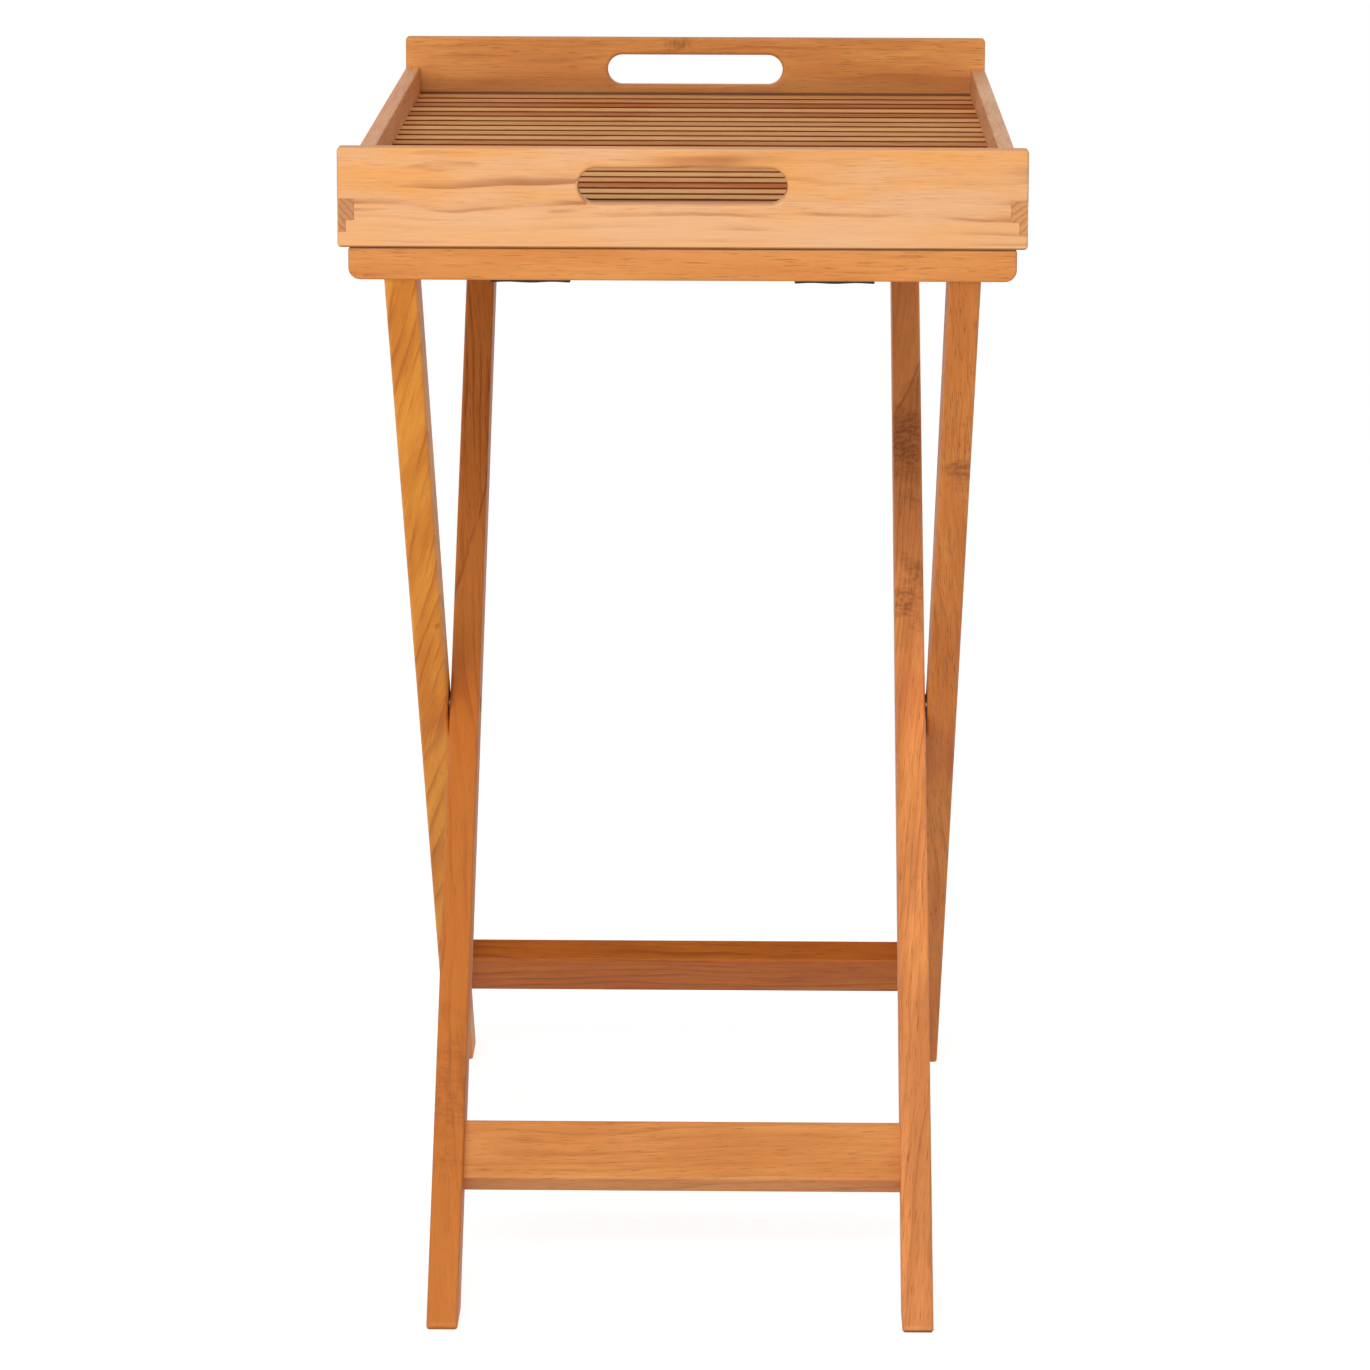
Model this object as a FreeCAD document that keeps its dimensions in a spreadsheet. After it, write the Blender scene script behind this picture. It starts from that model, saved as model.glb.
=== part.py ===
"""Folding tray table: a slatted tray with cut-out handles that lifts off a scissor stand.

The stand is two leg frames that cross at a pivot. The outer frame has its top rail at the front and its
feet at the back, the inner frame the other way round. Two webbing straps under the top rails stop the
frames from opening further. Millimetres, +Z up, +Y to the back, origin on the floor under the middle.
"""
import FreeCAD, Part
import math
import os
import Sketcher

doc = FreeCAD.newDocument("tray_table")

# Driving dimensions
SIZES = {
    # Tray: handle rails at the front and back, lower rails at the sides, slats between them
    "tray_width": 430,
    "tray_depth": 742,
    "tray_rail_height": 62.5,
    "tray_rail_thickness": 12.5,
    "side_rail_height": 40.5,
    "side_rail_thickness": 10.5,
    "tray_corner": 2.5,
    "tray_ease": 1.5,
    "handle_length": 130,
    "handle_height": 22.2,
    "handle_top_margin": 12.4,
    "handle_ease": 2.5,
    "finger_rise": 10,
    "finger_height": 20.2,
    "groove_height": 7.2,
    "groove_depth": 5.2,
    "slat_gap": 10,
    "slat_thickness": 11.2,
    "slat_ease": 1.5,
    "glue_line": 0.1,
    # Stand: height is the top of the two rails that carry the tray
    "stand_height": 709.5,
    "pivot_height": 341.5,
    "top_rail_height": 20.5,
    "top_rail_depth": 54,
    "top_rail_setback": 2,
    "top_rail_end_setback": 6.5,
    "top_rail_low_corner": 7.5,
    "top_rail_high_corner": 2.5,
    "rail_ease": 1.5,
    "leg_end_setback": 22,
    "leg_thickness": 20.3,
    "leg_depth": 34,
    "leg_ease": 2,
    "foot_round": 3,
    "leg_tenon_depth": 26,
    "leg_tenon_thickness": 10,
    "leg_tenon_height": 13,
    "stretcher_height": 44,
    "stretcher_thickness": 18.2,
    "stretcher_ease": 2,
    "stretcher_tenon_shoulder": 4.5,
    "stretcher_tenon_length": 10,
    "rear_stretcher_drop": 350.5,
    "front_stretcher_drop": 356,
    # Pivot bolts and nuts, sunk in counterbores, with a washer between the legs
    "bolt_diameter": 6,
    "bolt_running_fit": 0.08,
    "cap_diameter": 10.8,
    "cap_height": 4,
    "cap_clearance": 0.4,
    "counterbore_depth": 4.6,
    "socket_width": 4,
    "socket_depth": 2.2,
    "bolt_end_setback": 1,
    "washer_diameter": 18,
    "washer_thickness": 1.4,
    # Webbing straps, screwed to the undersides of the top rails
    "strap_width": 50,
    "strap_thickness": 1.6,
    "strap_leg_gap": 24.5,
    "strap_end_setback": 3,
    "screw_diameter": 3.5,
    "screw_length": 14,
    "screw_head_diameter": 8,
    "screw_head_height": 2.2,
    "screw_recess_span": 4,
    "screw_recess_width": 1,
    "screw_recess_depth": 1.2,
    "screw_spacing": 28,
    "screw_fit": 0.05,
    "strap_hole_clearance": 0.4,
}
SLAT_COUNT = 23

sheet = doc.addObject("Spreadsheet::Sheet", "Sizes")
for row, (alias, number) in enumerate(SIZES.items(), start=1):
    sheet.set(f"A{row}", alias.replace("_", " "))
    sheet.set(f"B{row}", str(number))
    sheet.setAlias(f"B{row}", alias)
doc.recompute()


def value(expression):
    """The number that an expression over the sheet gives now."""
    return float(sheet.evalExpression(expression))


# Lengths that several pieces share, worked out from the driving dimensions
UNDERSIDE = "(Sizes.stand_height - Sizes.top_rail_height)"
RISE = f"({UNDERSIDE} - Sizes.pivot_height)"
RAIL_CENTRE = "(Sizes.tray_depth / 2 - Sizes.top_rail_setback - Sizes.top_rail_depth / 2)"
REACH = f"sqrt({RISE}^2 + {RAIL_CENTRE}^2)"
TAN = f"({RAIL_CENTRE} / {RISE})"
COS = f"({RISE} / {REACH})"
SIN = f"({RAIL_CENTRE} / {REACH})"
LEAN = f"atan({TAN})"
TOP_RAIL_END = "(Sizes.tray_width / 2 - Sizes.top_rail_end_setback)"
OUTER_LEG_X = f"({TOP_RAIL_END} - Sizes.leg_end_setback - Sizes.leg_thickness / 2)"
INNER_LEG_X = f"({OUTER_LEG_X} - Sizes.leg_thickness - Sizes.washer_thickness)"
OUTER_CLEAR_WIDTH = f"(2 * {OUTER_LEG_X} - Sizes.leg_thickness)"
INNER_CLEAR_WIDTH = f"(2 * {INNER_LEG_X} - Sizes.leg_thickness)"
STRAP_X = f"({INNER_CLEAR_WIDTH} / 2 - Sizes.strap_leg_gap - Sizes.strap_width / 2)"
TRAY_INSIDE_DEPTH = "(Sizes.tray_depth - 2 * Sizes.tray_rail_thickness)"
TRAY_INSIDE_WIDTH = "(Sizes.tray_width - 2 * Sizes.side_rail_thickness)"
HANDLE_RISE = "(Sizes.tray_rail_height - Sizes.handle_top_margin - Sizes.handle_height / 2)"
SLAT_WIDTH = f"(({TRAY_INSIDE_DEPTH} - {SLAT_COUNT + 1} * Sizes.slat_gap) / {SLAT_COUNT})"

nodes = []


def new_body(label, keep=True):
    """An empty body. A kept one is a sub-part with a file of its own."""
    body = doc.addObject("PartDesign::Body", label)
    body.Label = label
    if keep:
        nodes.append(body)
    return body


def place(item, across="0", back="0", up="0", lean=None):
    """Puts a sub-part in the table's frame, tilted about the X axis by the angle `lean` if it is given."""
    item.Placement = FreeCAD.Placement(FreeCAD.Vector(), FreeCAD.Rotation(FreeCAD.Vector(1, 0, 0), 1))
    item.setExpression("Placement.Rotation.Angle", lean or "0")
    item.setExpression("Placement.Base.x", across)
    item.setExpression("Placement.Base.y", back)
    item.setExpression("Placement.Base.z", up)


def sketch_on(body, plane, name, shift="0"):
    """An empty sketch on one of the body's own planes, moved along the plane's normal."""
    sketch = body.newObject("Sketcher::SketchObject", name)
    support = [feature for feature in body.Origin.OriginFeatures if feature.Role == plane][0]
    sketch.AttachmentSupport = [(support, "")]
    sketch.MapMode = "FlatFace"
    sketch.setExpression("AttachmentOffset.Base.z", shift)
    return sketch


def bind(sketch, kind, elements, name, expression):
    """Adds one named constraint whose number follows an expression."""
    index = sketch.addConstraint(Sketcher.Constraint(kind, *elements, value(expression)))
    sketch.renameConstraint(index, name)
    sketch.setExpression(f"Constraints.{name}", expression)


def outline(sketch, corners):
    """A closed outline of straight lines through corners, each a pair of expressions."""
    first = sketch.GeometryCount
    points = [FreeCAD.Vector(value(x), value(y), 0) for x, y in corners]
    count = len(points)
    for k in range(count):
        sketch.addGeometry(Part.LineSegment(points[k], points[(k + 1) % count]))
    for k in range(count):
        here = first + k
        following = first + (k + 1) % count
        sketch.addConstraint(Sketcher.Constraint("Coincident", here, 2, following, 1))
    for k, (x, y) in enumerate(corners):
        here = first + k
        bind(sketch, "DistanceX", (-1, 1, here, 1), f"x{here}", x)
        bind(sketch, "DistanceY", (-1, 1, here, 1), f"y{here}", y)
    return sketch


def rectangle(sketch, left, right, low, high):
    """A rectangle between two pairs of expressions."""
    return outline(sketch, [(left, low), (right, low), (right, high), (left, high)])


def circle(sketch, x, y, radius):
    """A full circle about a point."""
    index = sketch.addGeometry(
        Part.Circle(FreeCAD.Vector(value(x), value(y), 0), FreeCAD.Vector(0, 0, 1), value(radius))
    )
    bind(sketch, "DistanceX", (-1, 1, index, 3), f"x{index}", x)
    bind(sketch, "DistanceY", (-1, 1, index, 3), f"y{index}", y)
    bind(sketch, "Radius", (index,), f"radius{index}", radius)
    return sketch


def rounded_slot(sketch, length, height, rise):
    """A slot with half-round ends, centred on the sketch's upright axis at a given rise."""
    radius = value(height) / 2
    end = value(length) / 2 - radius
    mid = value(rise)
    up = FreeCAD.Vector(0, 0, 1)
    quarter = math.pi / 2
    right = Part.ArcOfCircle(Part.Circle(FreeCAD.Vector(end, mid, 0), up, radius), -quarter, quarter)
    left = Part.ArcOfCircle(Part.Circle(FreeCAD.Vector(-end, mid, 0), up, radius), quarter, 3 * quarter)
    high_right = FreeCAD.Vector(end, mid + radius, 0)
    high_left = FreeCAD.Vector(-end, mid + radius, 0)
    low_left = FreeCAD.Vector(-end, mid - radius, 0)
    low_right = FreeCAD.Vector(end, mid - radius, 0)
    sketch.addGeometry(right)
    sketch.addGeometry(left)
    sketch.addGeometry(Part.LineSegment(high_right, high_left))
    sketch.addGeometry(Part.LineSegment(low_left, low_right))
    meetings = ((0, 2, 2, 1), (2, 2, 1, 1), (1, 2, 3, 1), (3, 2, 0, 1))
    for first, first_point, second, second_point in meetings:
        sketch.addConstraint(Sketcher.Constraint("Coincident", first, first_point, second, second_point))
    for arc in (0, 1):
        sketch.addConstraint(Sketcher.Constraint("Vertical", arc, 3, arc, 1))
        sketch.addConstraint(Sketcher.Constraint("Vertical", arc, 3, arc, 2))
        bind(sketch, "DistanceY", (-1, 1, arc, 3), f"rise{arc}", rise)
    bind(sketch, "DistanceX", (-1, 1, 0, 3), "end0", f"({length} - {height}) / 2")
    bind(sketch, "DistanceX", (-1, 1, 1, 3), "end1", f"-({length} - {height}) / 2")
    bind(sketch, "Radius", (0,), "radius0", f"{height} / 2")
    return sketch


def pad(body, sketch, length, name="Pad"):
    """Adds material evenly on both sides of the sketch."""
    feature = body.newObject("PartDesign::Pad", name)
    feature.Profile = sketch
    feature.Midplane = True
    feature.setExpression("Length", length)
    doc.recompute()
    return feature


LEAST_CUT = 1e-3


def cut(body, sketch, depth, name="Pocket"):
    """Cuts to `depth` on both sides of the sketch, and stops if nothing was taken away."""
    before = body.Shape.Volume
    feature = body.newObject("PartDesign::Pocket", name)
    feature.Profile = sketch
    feature.Midplane = True
    feature.setExpression("Length", f"2 * ({depth})")
    doc.recompute()
    if body.Shape.Volume > before - LEAST_CUT:
        raise RuntimeError(f"{body.Label}: {name} took nothing away")
    return feature


def revolve(body, sketch, axis, name="Turning"):
    """Turns a profile about one of the sketch's own axes."""
    feature = body.newObject("PartDesign::Revolution", name)
    feature.Profile = sketch
    feature.ReferenceAxis = (sketch, [axis])
    feature.Angle = 360
    doc.recompute()
    return feature


def ease(body, radius, chosen, name="Ease"):
    """Rounds the edges of the body for which `chosen(edge)` holds."""
    base = body.Tip
    names = [f"Edge{k}" for k, edge in enumerate(base.Shape.Edges, start=1) if chosen(edge)]
    if not names:
        raise RuntimeError(f"{body.Label}: {name} found no edge")
    feature = body.newObject("PartDesign::Fillet", name)
    feature.Base = (base, names)
    feature.setExpression("Radius", radius)
    doc.recompute()
    return feature


SAME = 1e-4


def near(a, b):
    """Two lengths are the same."""
    return abs(a - b) < SAME


def spans(edge, axis):
    """The edge's lowest and highest place along "x", "y" or "z"."""
    box = edge.BoundBox
    return {"x": (box.XMin, box.XMax), "y": (box.YMin, box.YMax), "z": (box.ZMin, box.ZMax)}[axis]


def lies_at(edge, axis, place_at):
    """The whole edge lies in the plane at `place_at` along an axis."""
    low, high = spans(edge, axis)
    return near(low, place_at) and near(high, place_at)


def runs_along(edge, axis):
    """The edge is a straight line along an axis."""
    others = [name for name in "xyz" if name != axis]
    low, high = spans(edge, axis)
    return high - low > SAME and all(near(*spans(edge, name)) for name in others)


def face_loops(axis, half):
    """Chooses every edge that lies in either of the two faces at plus and minus `half` along an axis."""
    return lambda edge: lies_at(edge, axis, half) or lies_at(edge, axis, -half)


# Tray rails with the handles, front and back
def handle_rail(label, facing):
    """A tall rail with a handle slot and, at each end, the notch that takes the side rail's finger.

    `facing` is -1 at the front and 1 at the back.
    """
    body = new_body(label)
    half_width = "(Sizes.tray_width / 2)"
    board = sketch_on(body, "XZ_Plane", "Board")
    rectangle(board, f"-{half_width}", half_width, "0", "Sizes.tray_rail_height")
    pad(body, board, "Sizes.tray_rail_thickness")
    ease(body, "Sizes.tray_corner", lambda edge: runs_along(edge, "y"), "Corners")

    handle = sketch_on(body, "XZ_Plane", "Handle")
    rounded_slot(handle, "Sizes.handle_length", "Sizes.handle_height", HANDLE_RISE)
    cut(body, handle, "Sizes.tray_rail_thickness", "HandleSlot")
    in_faces = face_loops("y", value("Sizes.tray_rail_thickness / 2"))
    slot_reach = value("Sizes.handle_length / 2") + SAME

    def around_slot(edge):
        """The edge is one of the slot's rims."""
        box = edge.BoundBox
        low = value(f"{HANDLE_RISE} - Sizes.handle_height / 2") - SAME
        high = value(f"{HANDLE_RISE} + Sizes.handle_height / 2") + SAME
        inside = box.XMin > -slot_reach and box.XMax < slot_reach
        return in_faces(edge) and inside and box.ZMin > low and box.ZMax < high

    ease(body, "Sizes.handle_ease", around_slot, "HandleEase")
    outer_reach = slot_reach + value("Sizes.handle_ease")

    def around_board(edge):
        """The edge is one of the board's own rims."""
        box = edge.BoundBox
        in_slot = box.XMin > -outer_reach and box.XMax < outer_reach
        return in_faces(edge) and not in_slot

    ease(body, "Sizes.tray_ease", around_board, "BoardEase")

    inner_face = "(Sizes.tray_width / 2 - Sizes.side_rail_thickness - Sizes.glue_line)"
    for side, name in ((-1, "LeftNotch"), (1, "RightNotch")):
        notch = sketch_on(body, "XZ_Plane", name)
        past_end = f"{side} * (Sizes.tray_width / 2 + Sizes.tray_corner)"
        shallow = f"{side} * ({inner_face} + Sizes.groove_depth)"
        deep = f"{side} * {inner_face}"
        low = "Sizes.finger_rise - Sizes.glue_line"
        step = "Sizes.finger_rise + Sizes.groove_height - Sizes.glue_line"
        high = "Sizes.finger_rise + Sizes.finger_height + Sizes.glue_line"
        outline(
            notch,
            [
                (past_end, low),
                (shallow, low),
                (shallow, step),
                (deep, step),
                (deep, high),
                (past_end, high),
            ],
        )
        cut(body, notch, "Sizes.tray_rail_thickness", name + "Cut")
    back = f"{facing} * (Sizes.tray_depth - Sizes.tray_rail_thickness) / 2"
    place(body, back=back, up="Sizes.stand_height")


# Low tray rails at the sides
def side_rail(label, side):
    """A low rail whose finger passes right through the handle rails, grooved inside for the slats.

    `side` is -1 on the left and 1 on the right.
    """
    body = new_body(label)
    board = sketch_on(body, "YZ_Plane", "Board")
    rectangle(board, f"-{TRAY_INSIDE_DEPTH} / 2", f"{TRAY_INSIDE_DEPTH} / 2", "0", "Sizes.side_rail_height")
    pad(body, board, "Sizes.side_rail_thickness")
    ease(body, "Sizes.tray_ease", lambda edge: runs_along(edge, "y"), "LongEdges")

    finger = sketch_on(body, "YZ_Plane", "Finger")
    finger_top = "Sizes.finger_rise + Sizes.finger_height"
    rectangle(finger, "-Sizes.tray_depth / 2", "Sizes.tray_depth / 2", "Sizes.finger_rise", finger_top)
    pad(body, finger, "Sizes.side_rail_thickness", "Fingers")
    outer_face = side * value("Sizes.side_rail_thickness / 2")
    tips = face_loops("y", value("Sizes.tray_depth / 2"))
    ease(body, "Sizes.tray_ease", lambda edge: tips(edge) and lies_at(edge, "x", outer_face), "FingerTips")

    groove = sketch_on(body, "XZ_Plane", "Groove")
    floor = f"{-side} * (Sizes.side_rail_thickness / 2 - Sizes.groove_depth)"
    mouth = f"{-side} * Sizes.side_rail_thickness"
    rectangle(groove, floor, mouth, "Sizes.finger_rise", "Sizes.finger_rise + Sizes.groove_height")
    cut(body, groove, "Sizes.tray_depth", "SlatGroove")
    across = f"{side} * (Sizes.tray_width - Sizes.side_rail_thickness) / 2"
    place(body, across=across, up="Sizes.stand_height")


# Slats
def slat(label, back):
    """A slat with a tongue at each end, flush with its underside, that sits in the side rails' grooves."""
    body = new_body(label)
    half = f"({TRAY_INSIDE_WIDTH} / 2 - Sizes.glue_line)"
    tip = f"({half} + Sizes.groove_depth - Sizes.glue_line)"
    tongue = "(Sizes.groove_height - 2 * Sizes.glue_line)"
    top = "Sizes.slat_thickness"
    profile = sketch_on(body, "XZ_Plane", "Profile")
    outline(
        profile,
        [
            (f"-{tip}", "0"),
            (tip, "0"),
            (tip, tongue),
            (half, tongue),
            (half, top),
            (f"-{half}", top),
            (f"-{half}", tongue),
            (f"-{tip}", tongue),
        ],
    )
    pad(body, profile, SLAT_WIDTH)
    thickness = value(top)
    ease(
        body,
        "Sizes.slat_ease",
        lambda edge: runs_along(edge, "x") and lies_at(edge, "z", thickness),
        "TopEdges",
    )
    place(body, back=back, up="Sizes.stand_height + Sizes.finger_rise + Sizes.glue_line")


# Legs
def leg(label, x, side, frame):
    """A leg about its pivot, with its own Z along it, cut level at the floor and under the top rail.

    `x` is the leg's place, `side` -1 on the left and 1 on the right, and `frame` 1 for the outer frame,
    whose legs lean to the front at the top, or -1 for the inner frame.
    """
    body = new_body(label)
    half = "(Sizes.leg_depth / 2)"
    foot = f"(Sizes.pivot_height / {COS})"
    slope = f"({frame} * {TAN})"
    profile = sketch_on(body, "YZ_Plane", "Profile")
    outline(
        profile,
        [
            (f"-{half}", f"-{foot} + {half} * {slope}"),
            (half, f"-{foot} - {half} * {slope}"),
            (half, f"{REACH} - {half} * {slope}"),
            (f"-{half}", f"{REACH} + {half} * {slope}"),
        ],
    )
    pad(body, profile, "Sizes.leg_thickness")
    ease(
        body,
        "Sizes.foot_round",
        lambda edge: runs_along(edge, "x") and edge.BoundBox.ZMax < 0,
        "FootCorners",
    )
    side_faces = face_loops("x", value("Sizes.leg_thickness / 2"))
    shoulder = value(f"{REACH} - {half} * {TAN}")
    ease(
        body,
        "Sizes.leg_ease",
        lambda edge: side_faces(edge) and edge.BoundBox.ZMin < shoulder - SAME,
        "LongEdges",
    )

    # The tenon stands upright in the table's frame, so it is turned back by the lean
    tenon = sketch_on(body, "YZ_Plane", "Tenon")
    wide = "(Sizes.leg_tenon_depth / 2)"
    tall = "Sizes.leg_tenon_height"
    corners = []
    for across, up in ((f"-{wide}", "0"), (wide, "0"), (wide, tall), (f"-{wide}", tall)):
        along_depth = f"({across}) * {COS} + ({up}) * {frame} * {SIN}"
        along_leg = f"{REACH} - ({across}) * {frame} * {SIN} + ({up}) * {COS}"
        corners.append((along_depth, along_leg))
    outline(tenon, corners)
    pad(body, tenon, "Sizes.leg_tenon_thickness", "TenonPad")

    bore = sketch_on(body, "YZ_Plane", "Bore")
    circle(bore, "0", "0", "Sizes.bolt_diameter / 2 + Sizes.bolt_running_fit")
    cut(body, bore, "Sizes.leg_thickness", "PivotBore")
    cap_side = side * frame
    sink = sketch_on(body, "YZ_Plane", "Sink", f"{cap_side} * Sizes.leg_thickness / 2")
    circle(sink, "0", "0", "Sizes.cap_diameter / 2 + Sizes.cap_clearance")
    cut(body, sink, "Sizes.counterbore_depth", "Counterbore")

    drop = "Sizes.rear_stretcher_drop" if frame > 0 else "Sizes.front_stretcher_drop"
    mortise = sketch_on(body, "YZ_Plane", "Mortise", f"{-side} * Sizes.leg_thickness / 2")
    thick = "(Sizes.stretcher_thickness / 2 - Sizes.stretcher_tenon_shoulder + Sizes.glue_line)"
    high = "(Sizes.stretcher_height / 2 - Sizes.stretcher_tenon_shoulder + Sizes.glue_line)"
    rectangle(mortise, f"-{thick}", thick, f"-{drop} - {high}", f"-{drop} + {high}")
    cut(body, mortise, "Sizes.stretcher_tenon_length + Sizes.glue_line", "StretcherMortise")
    place(body, across=f"{side} * {x}", up="Sizes.pivot_height", lean=f"{frame} * {LEAN}")


# Stretchers
def stretcher(label, clear_width, drop, frame):
    """A cross bar between two legs of a frame, with a stub tenon at each end."""
    body = new_body(label)
    half_height = "(Sizes.stretcher_height / 2)"
    half_thickness = "(Sizes.stretcher_thickness / 2)"
    bar = sketch_on(body, "YZ_Plane", "Bar")
    rectangle(bar, f"-{half_thickness}", half_thickness, f"-{half_height}", half_height)
    pad(body, bar, clear_width)
    ease(body, "Sizes.stretcher_ease", lambda edge: runs_along(edge, "x"), "LongEdges")
    tenon = sketch_on(body, "YZ_Plane", "Tenon")
    thick = f"({half_thickness} - Sizes.stretcher_tenon_shoulder)"
    high = f"({half_height} - Sizes.stretcher_tenon_shoulder)"
    rectangle(tenon, f"-{thick}", thick, f"-{high}", high)
    pad(body, tenon, f"{clear_width} + 2 * Sizes.stretcher_tenon_length", "Tenons")
    back = f"{frame} * {drop} * {SIN}"
    place(body, back=back, up=f"Sizes.pivot_height - {drop} * {COS}", lean=f"{frame} * {LEAN}")


# Top rails that carry the tray
def top_rail(label, leg_x, facing):
    """A flat rail across two leg tops, mortised for their tenons and drilled for the strap screws.

    `facing` is -1 at the front and 1 at the back.
    """
    body = new_body(label)
    height = value("Sizes.top_rail_height")
    board = sketch_on(body, "XZ_Plane", "Board")
    rectangle(board, f"-{TOP_RAIL_END}", TOP_RAIL_END, "0", "Sizes.top_rail_height")
    pad(body, board, "Sizes.top_rail_depth")
    ease(
        body,
        "Sizes.top_rail_low_corner",
        lambda edge: runs_along(edge, "y") and lies_at(edge, "z", 0),
        "LowCorners",
    )
    ease(
        body,
        "Sizes.top_rail_high_corner",
        lambda edge: runs_along(edge, "y") and lies_at(edge, "z", height),
        "HighCorners",
    )
    ease(body, "Sizes.rail_ease", face_loops("y", value("Sizes.top_rail_depth / 2")), "LongEdges")

    wide = "(Sizes.leg_tenon_thickness / 2 + Sizes.glue_line)"
    deep = "(Sizes.leg_tenon_depth / 2 + Sizes.glue_line)"
    for side, name in ((-1, "LeftMortise"), (1, "RightMortise")):
        mortise = sketch_on(body, "XY_Plane", name)
        rectangle(mortise, f"{side} * {leg_x} - {wide}", f"{side} * {leg_x} + {wide}", f"-{deep}", deep)
        cut(body, mortise, "Sizes.leg_tenon_height + Sizes.glue_line", name + "Cut")
    pilots = sketch_on(body, "XY_Plane", "Pilots")
    for strap_side in (-1, 1):
        for screw_side in (-1, 1):
            x = f"{strap_side} * {STRAP_X} + {screw_side} * Sizes.screw_spacing / 2"
            circle(pilots, x, "0", "Sizes.screw_diameter / 2 + Sizes.screw_fit")
    cut(body, pilots, "Sizes.screw_length - Sizes.strap_thickness + Sizes.screw_fit", "PilotHoles")
    place(body, back=f"{facing} * {RAIL_CENTRE}", up=UNDERSIDE)


# Webbing straps
def strap(label, side):
    """A flat webbing strap under both top rails, pulled straight when the stand is open."""
    body = new_body(label)
    half_length = "(Sizes.tray_depth / 2 - Sizes.top_rail_setback - Sizes.strap_end_setback)"
    band = sketch_on(body, "XY_Plane", "Band")
    rectangle(band, "-Sizes.strap_width / 2", "Sizes.strap_width / 2", f"-{half_length}", half_length)
    pad(body, band, "Sizes.strap_thickness")
    holes = sketch_on(body, "XY_Plane", "Holes")
    for end in (-1, 1):
        for screw_side in (-1, 1):
            hole_radius = "Sizes.screw_diameter / 2 + Sizes.strap_hole_clearance"
            circle(holes, f"{screw_side} * Sizes.screw_spacing / 2", f"{end} * {RAIL_CENTRE}", hole_radius)
    cut(body, holes, "Sizes.strap_thickness", "ScrewHoles")
    place(body, across=f"{side} * {STRAP_X}", up=f"{UNDERSIDE} - Sizes.strap_thickness / 2")


def group(label, members):
    """One node made of several like pieces."""
    compound = doc.addObject("Part::Compound", label)
    compound.Label = label
    compound.Links = members
    nodes.append(compound)


# Screws that hold the straps
def cross_recess(body, crown):
    """The cross for a screwdriver in a screw's head, whose crown is at the height `crown`."""
    tip = "(Sizes.screw_recess_span / 2)"
    side = "(Sizes.screw_recess_width / 2)"
    recess = sketch_on(body, "XY_Plane", "Recess", crown)
    corners = []
    for across, up in ((1, 1), (-1, 1), (-1, -1), (1, -1)):
        arm = [(f"{across} * {tip}", f"{up} * {side}")]
        arm.append((f"{across} * {side}", f"{up} * {side}"))
        arm.append((f"{across} * {side}", f"{up} * {tip}"))
        corners += arm if across == up else arm[::-1]
    outline(recess, corners)
    cut(body, recess, "Sizes.screw_recess_depth", "RecessCut")


def strap_screws(label, facing):
    """Four round-head screws, two through each strap's end, up into a top rail."""
    screws = []
    for strap_side in (-1, 1):
        for screw_side in (-1, 1):
            body = new_body(f"{label}_{len(screws) + 1}", keep=False)
            profile = sketch_on(body, "XZ_Plane", "Profile")
            head = "Sizes.screw_head_diameter / 2"
            crown = "-Sizes.screw_head_height"
            shank = "Sizes.screw_diameter / 2"
            point = "Sizes.screw_length"
            outline(
                profile,
                [
                    ("0", crown),
                    ("Sizes.screw_diameter / 2", crown),
                    (head, f"{crown} / 3"),
                    (head, "0"),
                    (shank, "0"),
                    (shank, f"{point} - Sizes.screw_diameter"),
                    ("0", point),
                ],
            )
            revolve(body, profile, "V_Axis")
            cross_recess(body, crown)
            x = f"{strap_side} * {STRAP_X} + {screw_side} * Sizes.screw_spacing / 2"
            strap_face = f"{UNDERSIDE} - Sizes.strap_thickness"
            place(body, across=x, back=f"{facing} * {RAIL_CENTRE}", up=strap_face)
            screws.append(body)
    group(label, screws)


# Pivot hardware, turned about X and measured outwards from the table's middle
NUT_SEAT = f"({INNER_CLEAR_WIDTH} / 2 + Sizes.counterbore_depth)"
BOLT_SEAT = f"({OUTER_CLEAR_WIDTH} / 2 + Sizes.leg_thickness - Sizes.counterbore_depth)"
CAP_RADIUS = "Sizes.cap_diameter / 2"
BOLT_RADIUS = "Sizes.bolt_diameter / 2"


def hex_socket(body, side, at):
    """A six-sided socket in a cap's outer face."""
    corner = "Sizes.socket_width / sqrt(3)"
    socket = sketch_on(body, "YZ_Plane", "Socket", f"{side} * {at}")
    turns = [60 * k for k in range(6)]
    outline(socket, [(f"{corner} * cos({turn} deg)", f"{corner} * sin({turn} deg)") for turn in turns])
    cut(body, socket, "Sizes.socket_depth", "SocketCut")


def turned(label, side, profile_points):
    """A piece turned about the X axis. Profile points are distances outwards and radii."""
    body = new_body(label, keep=False)
    profile = sketch_on(body, "XZ_Plane", "Profile")
    outline(profile, [(f"{side} * {out}", radius) for out, radius in profile_points])
    revolve(body, profile, "H_Axis")
    place(body, up="Sizes.pivot_height")
    return body


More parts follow.
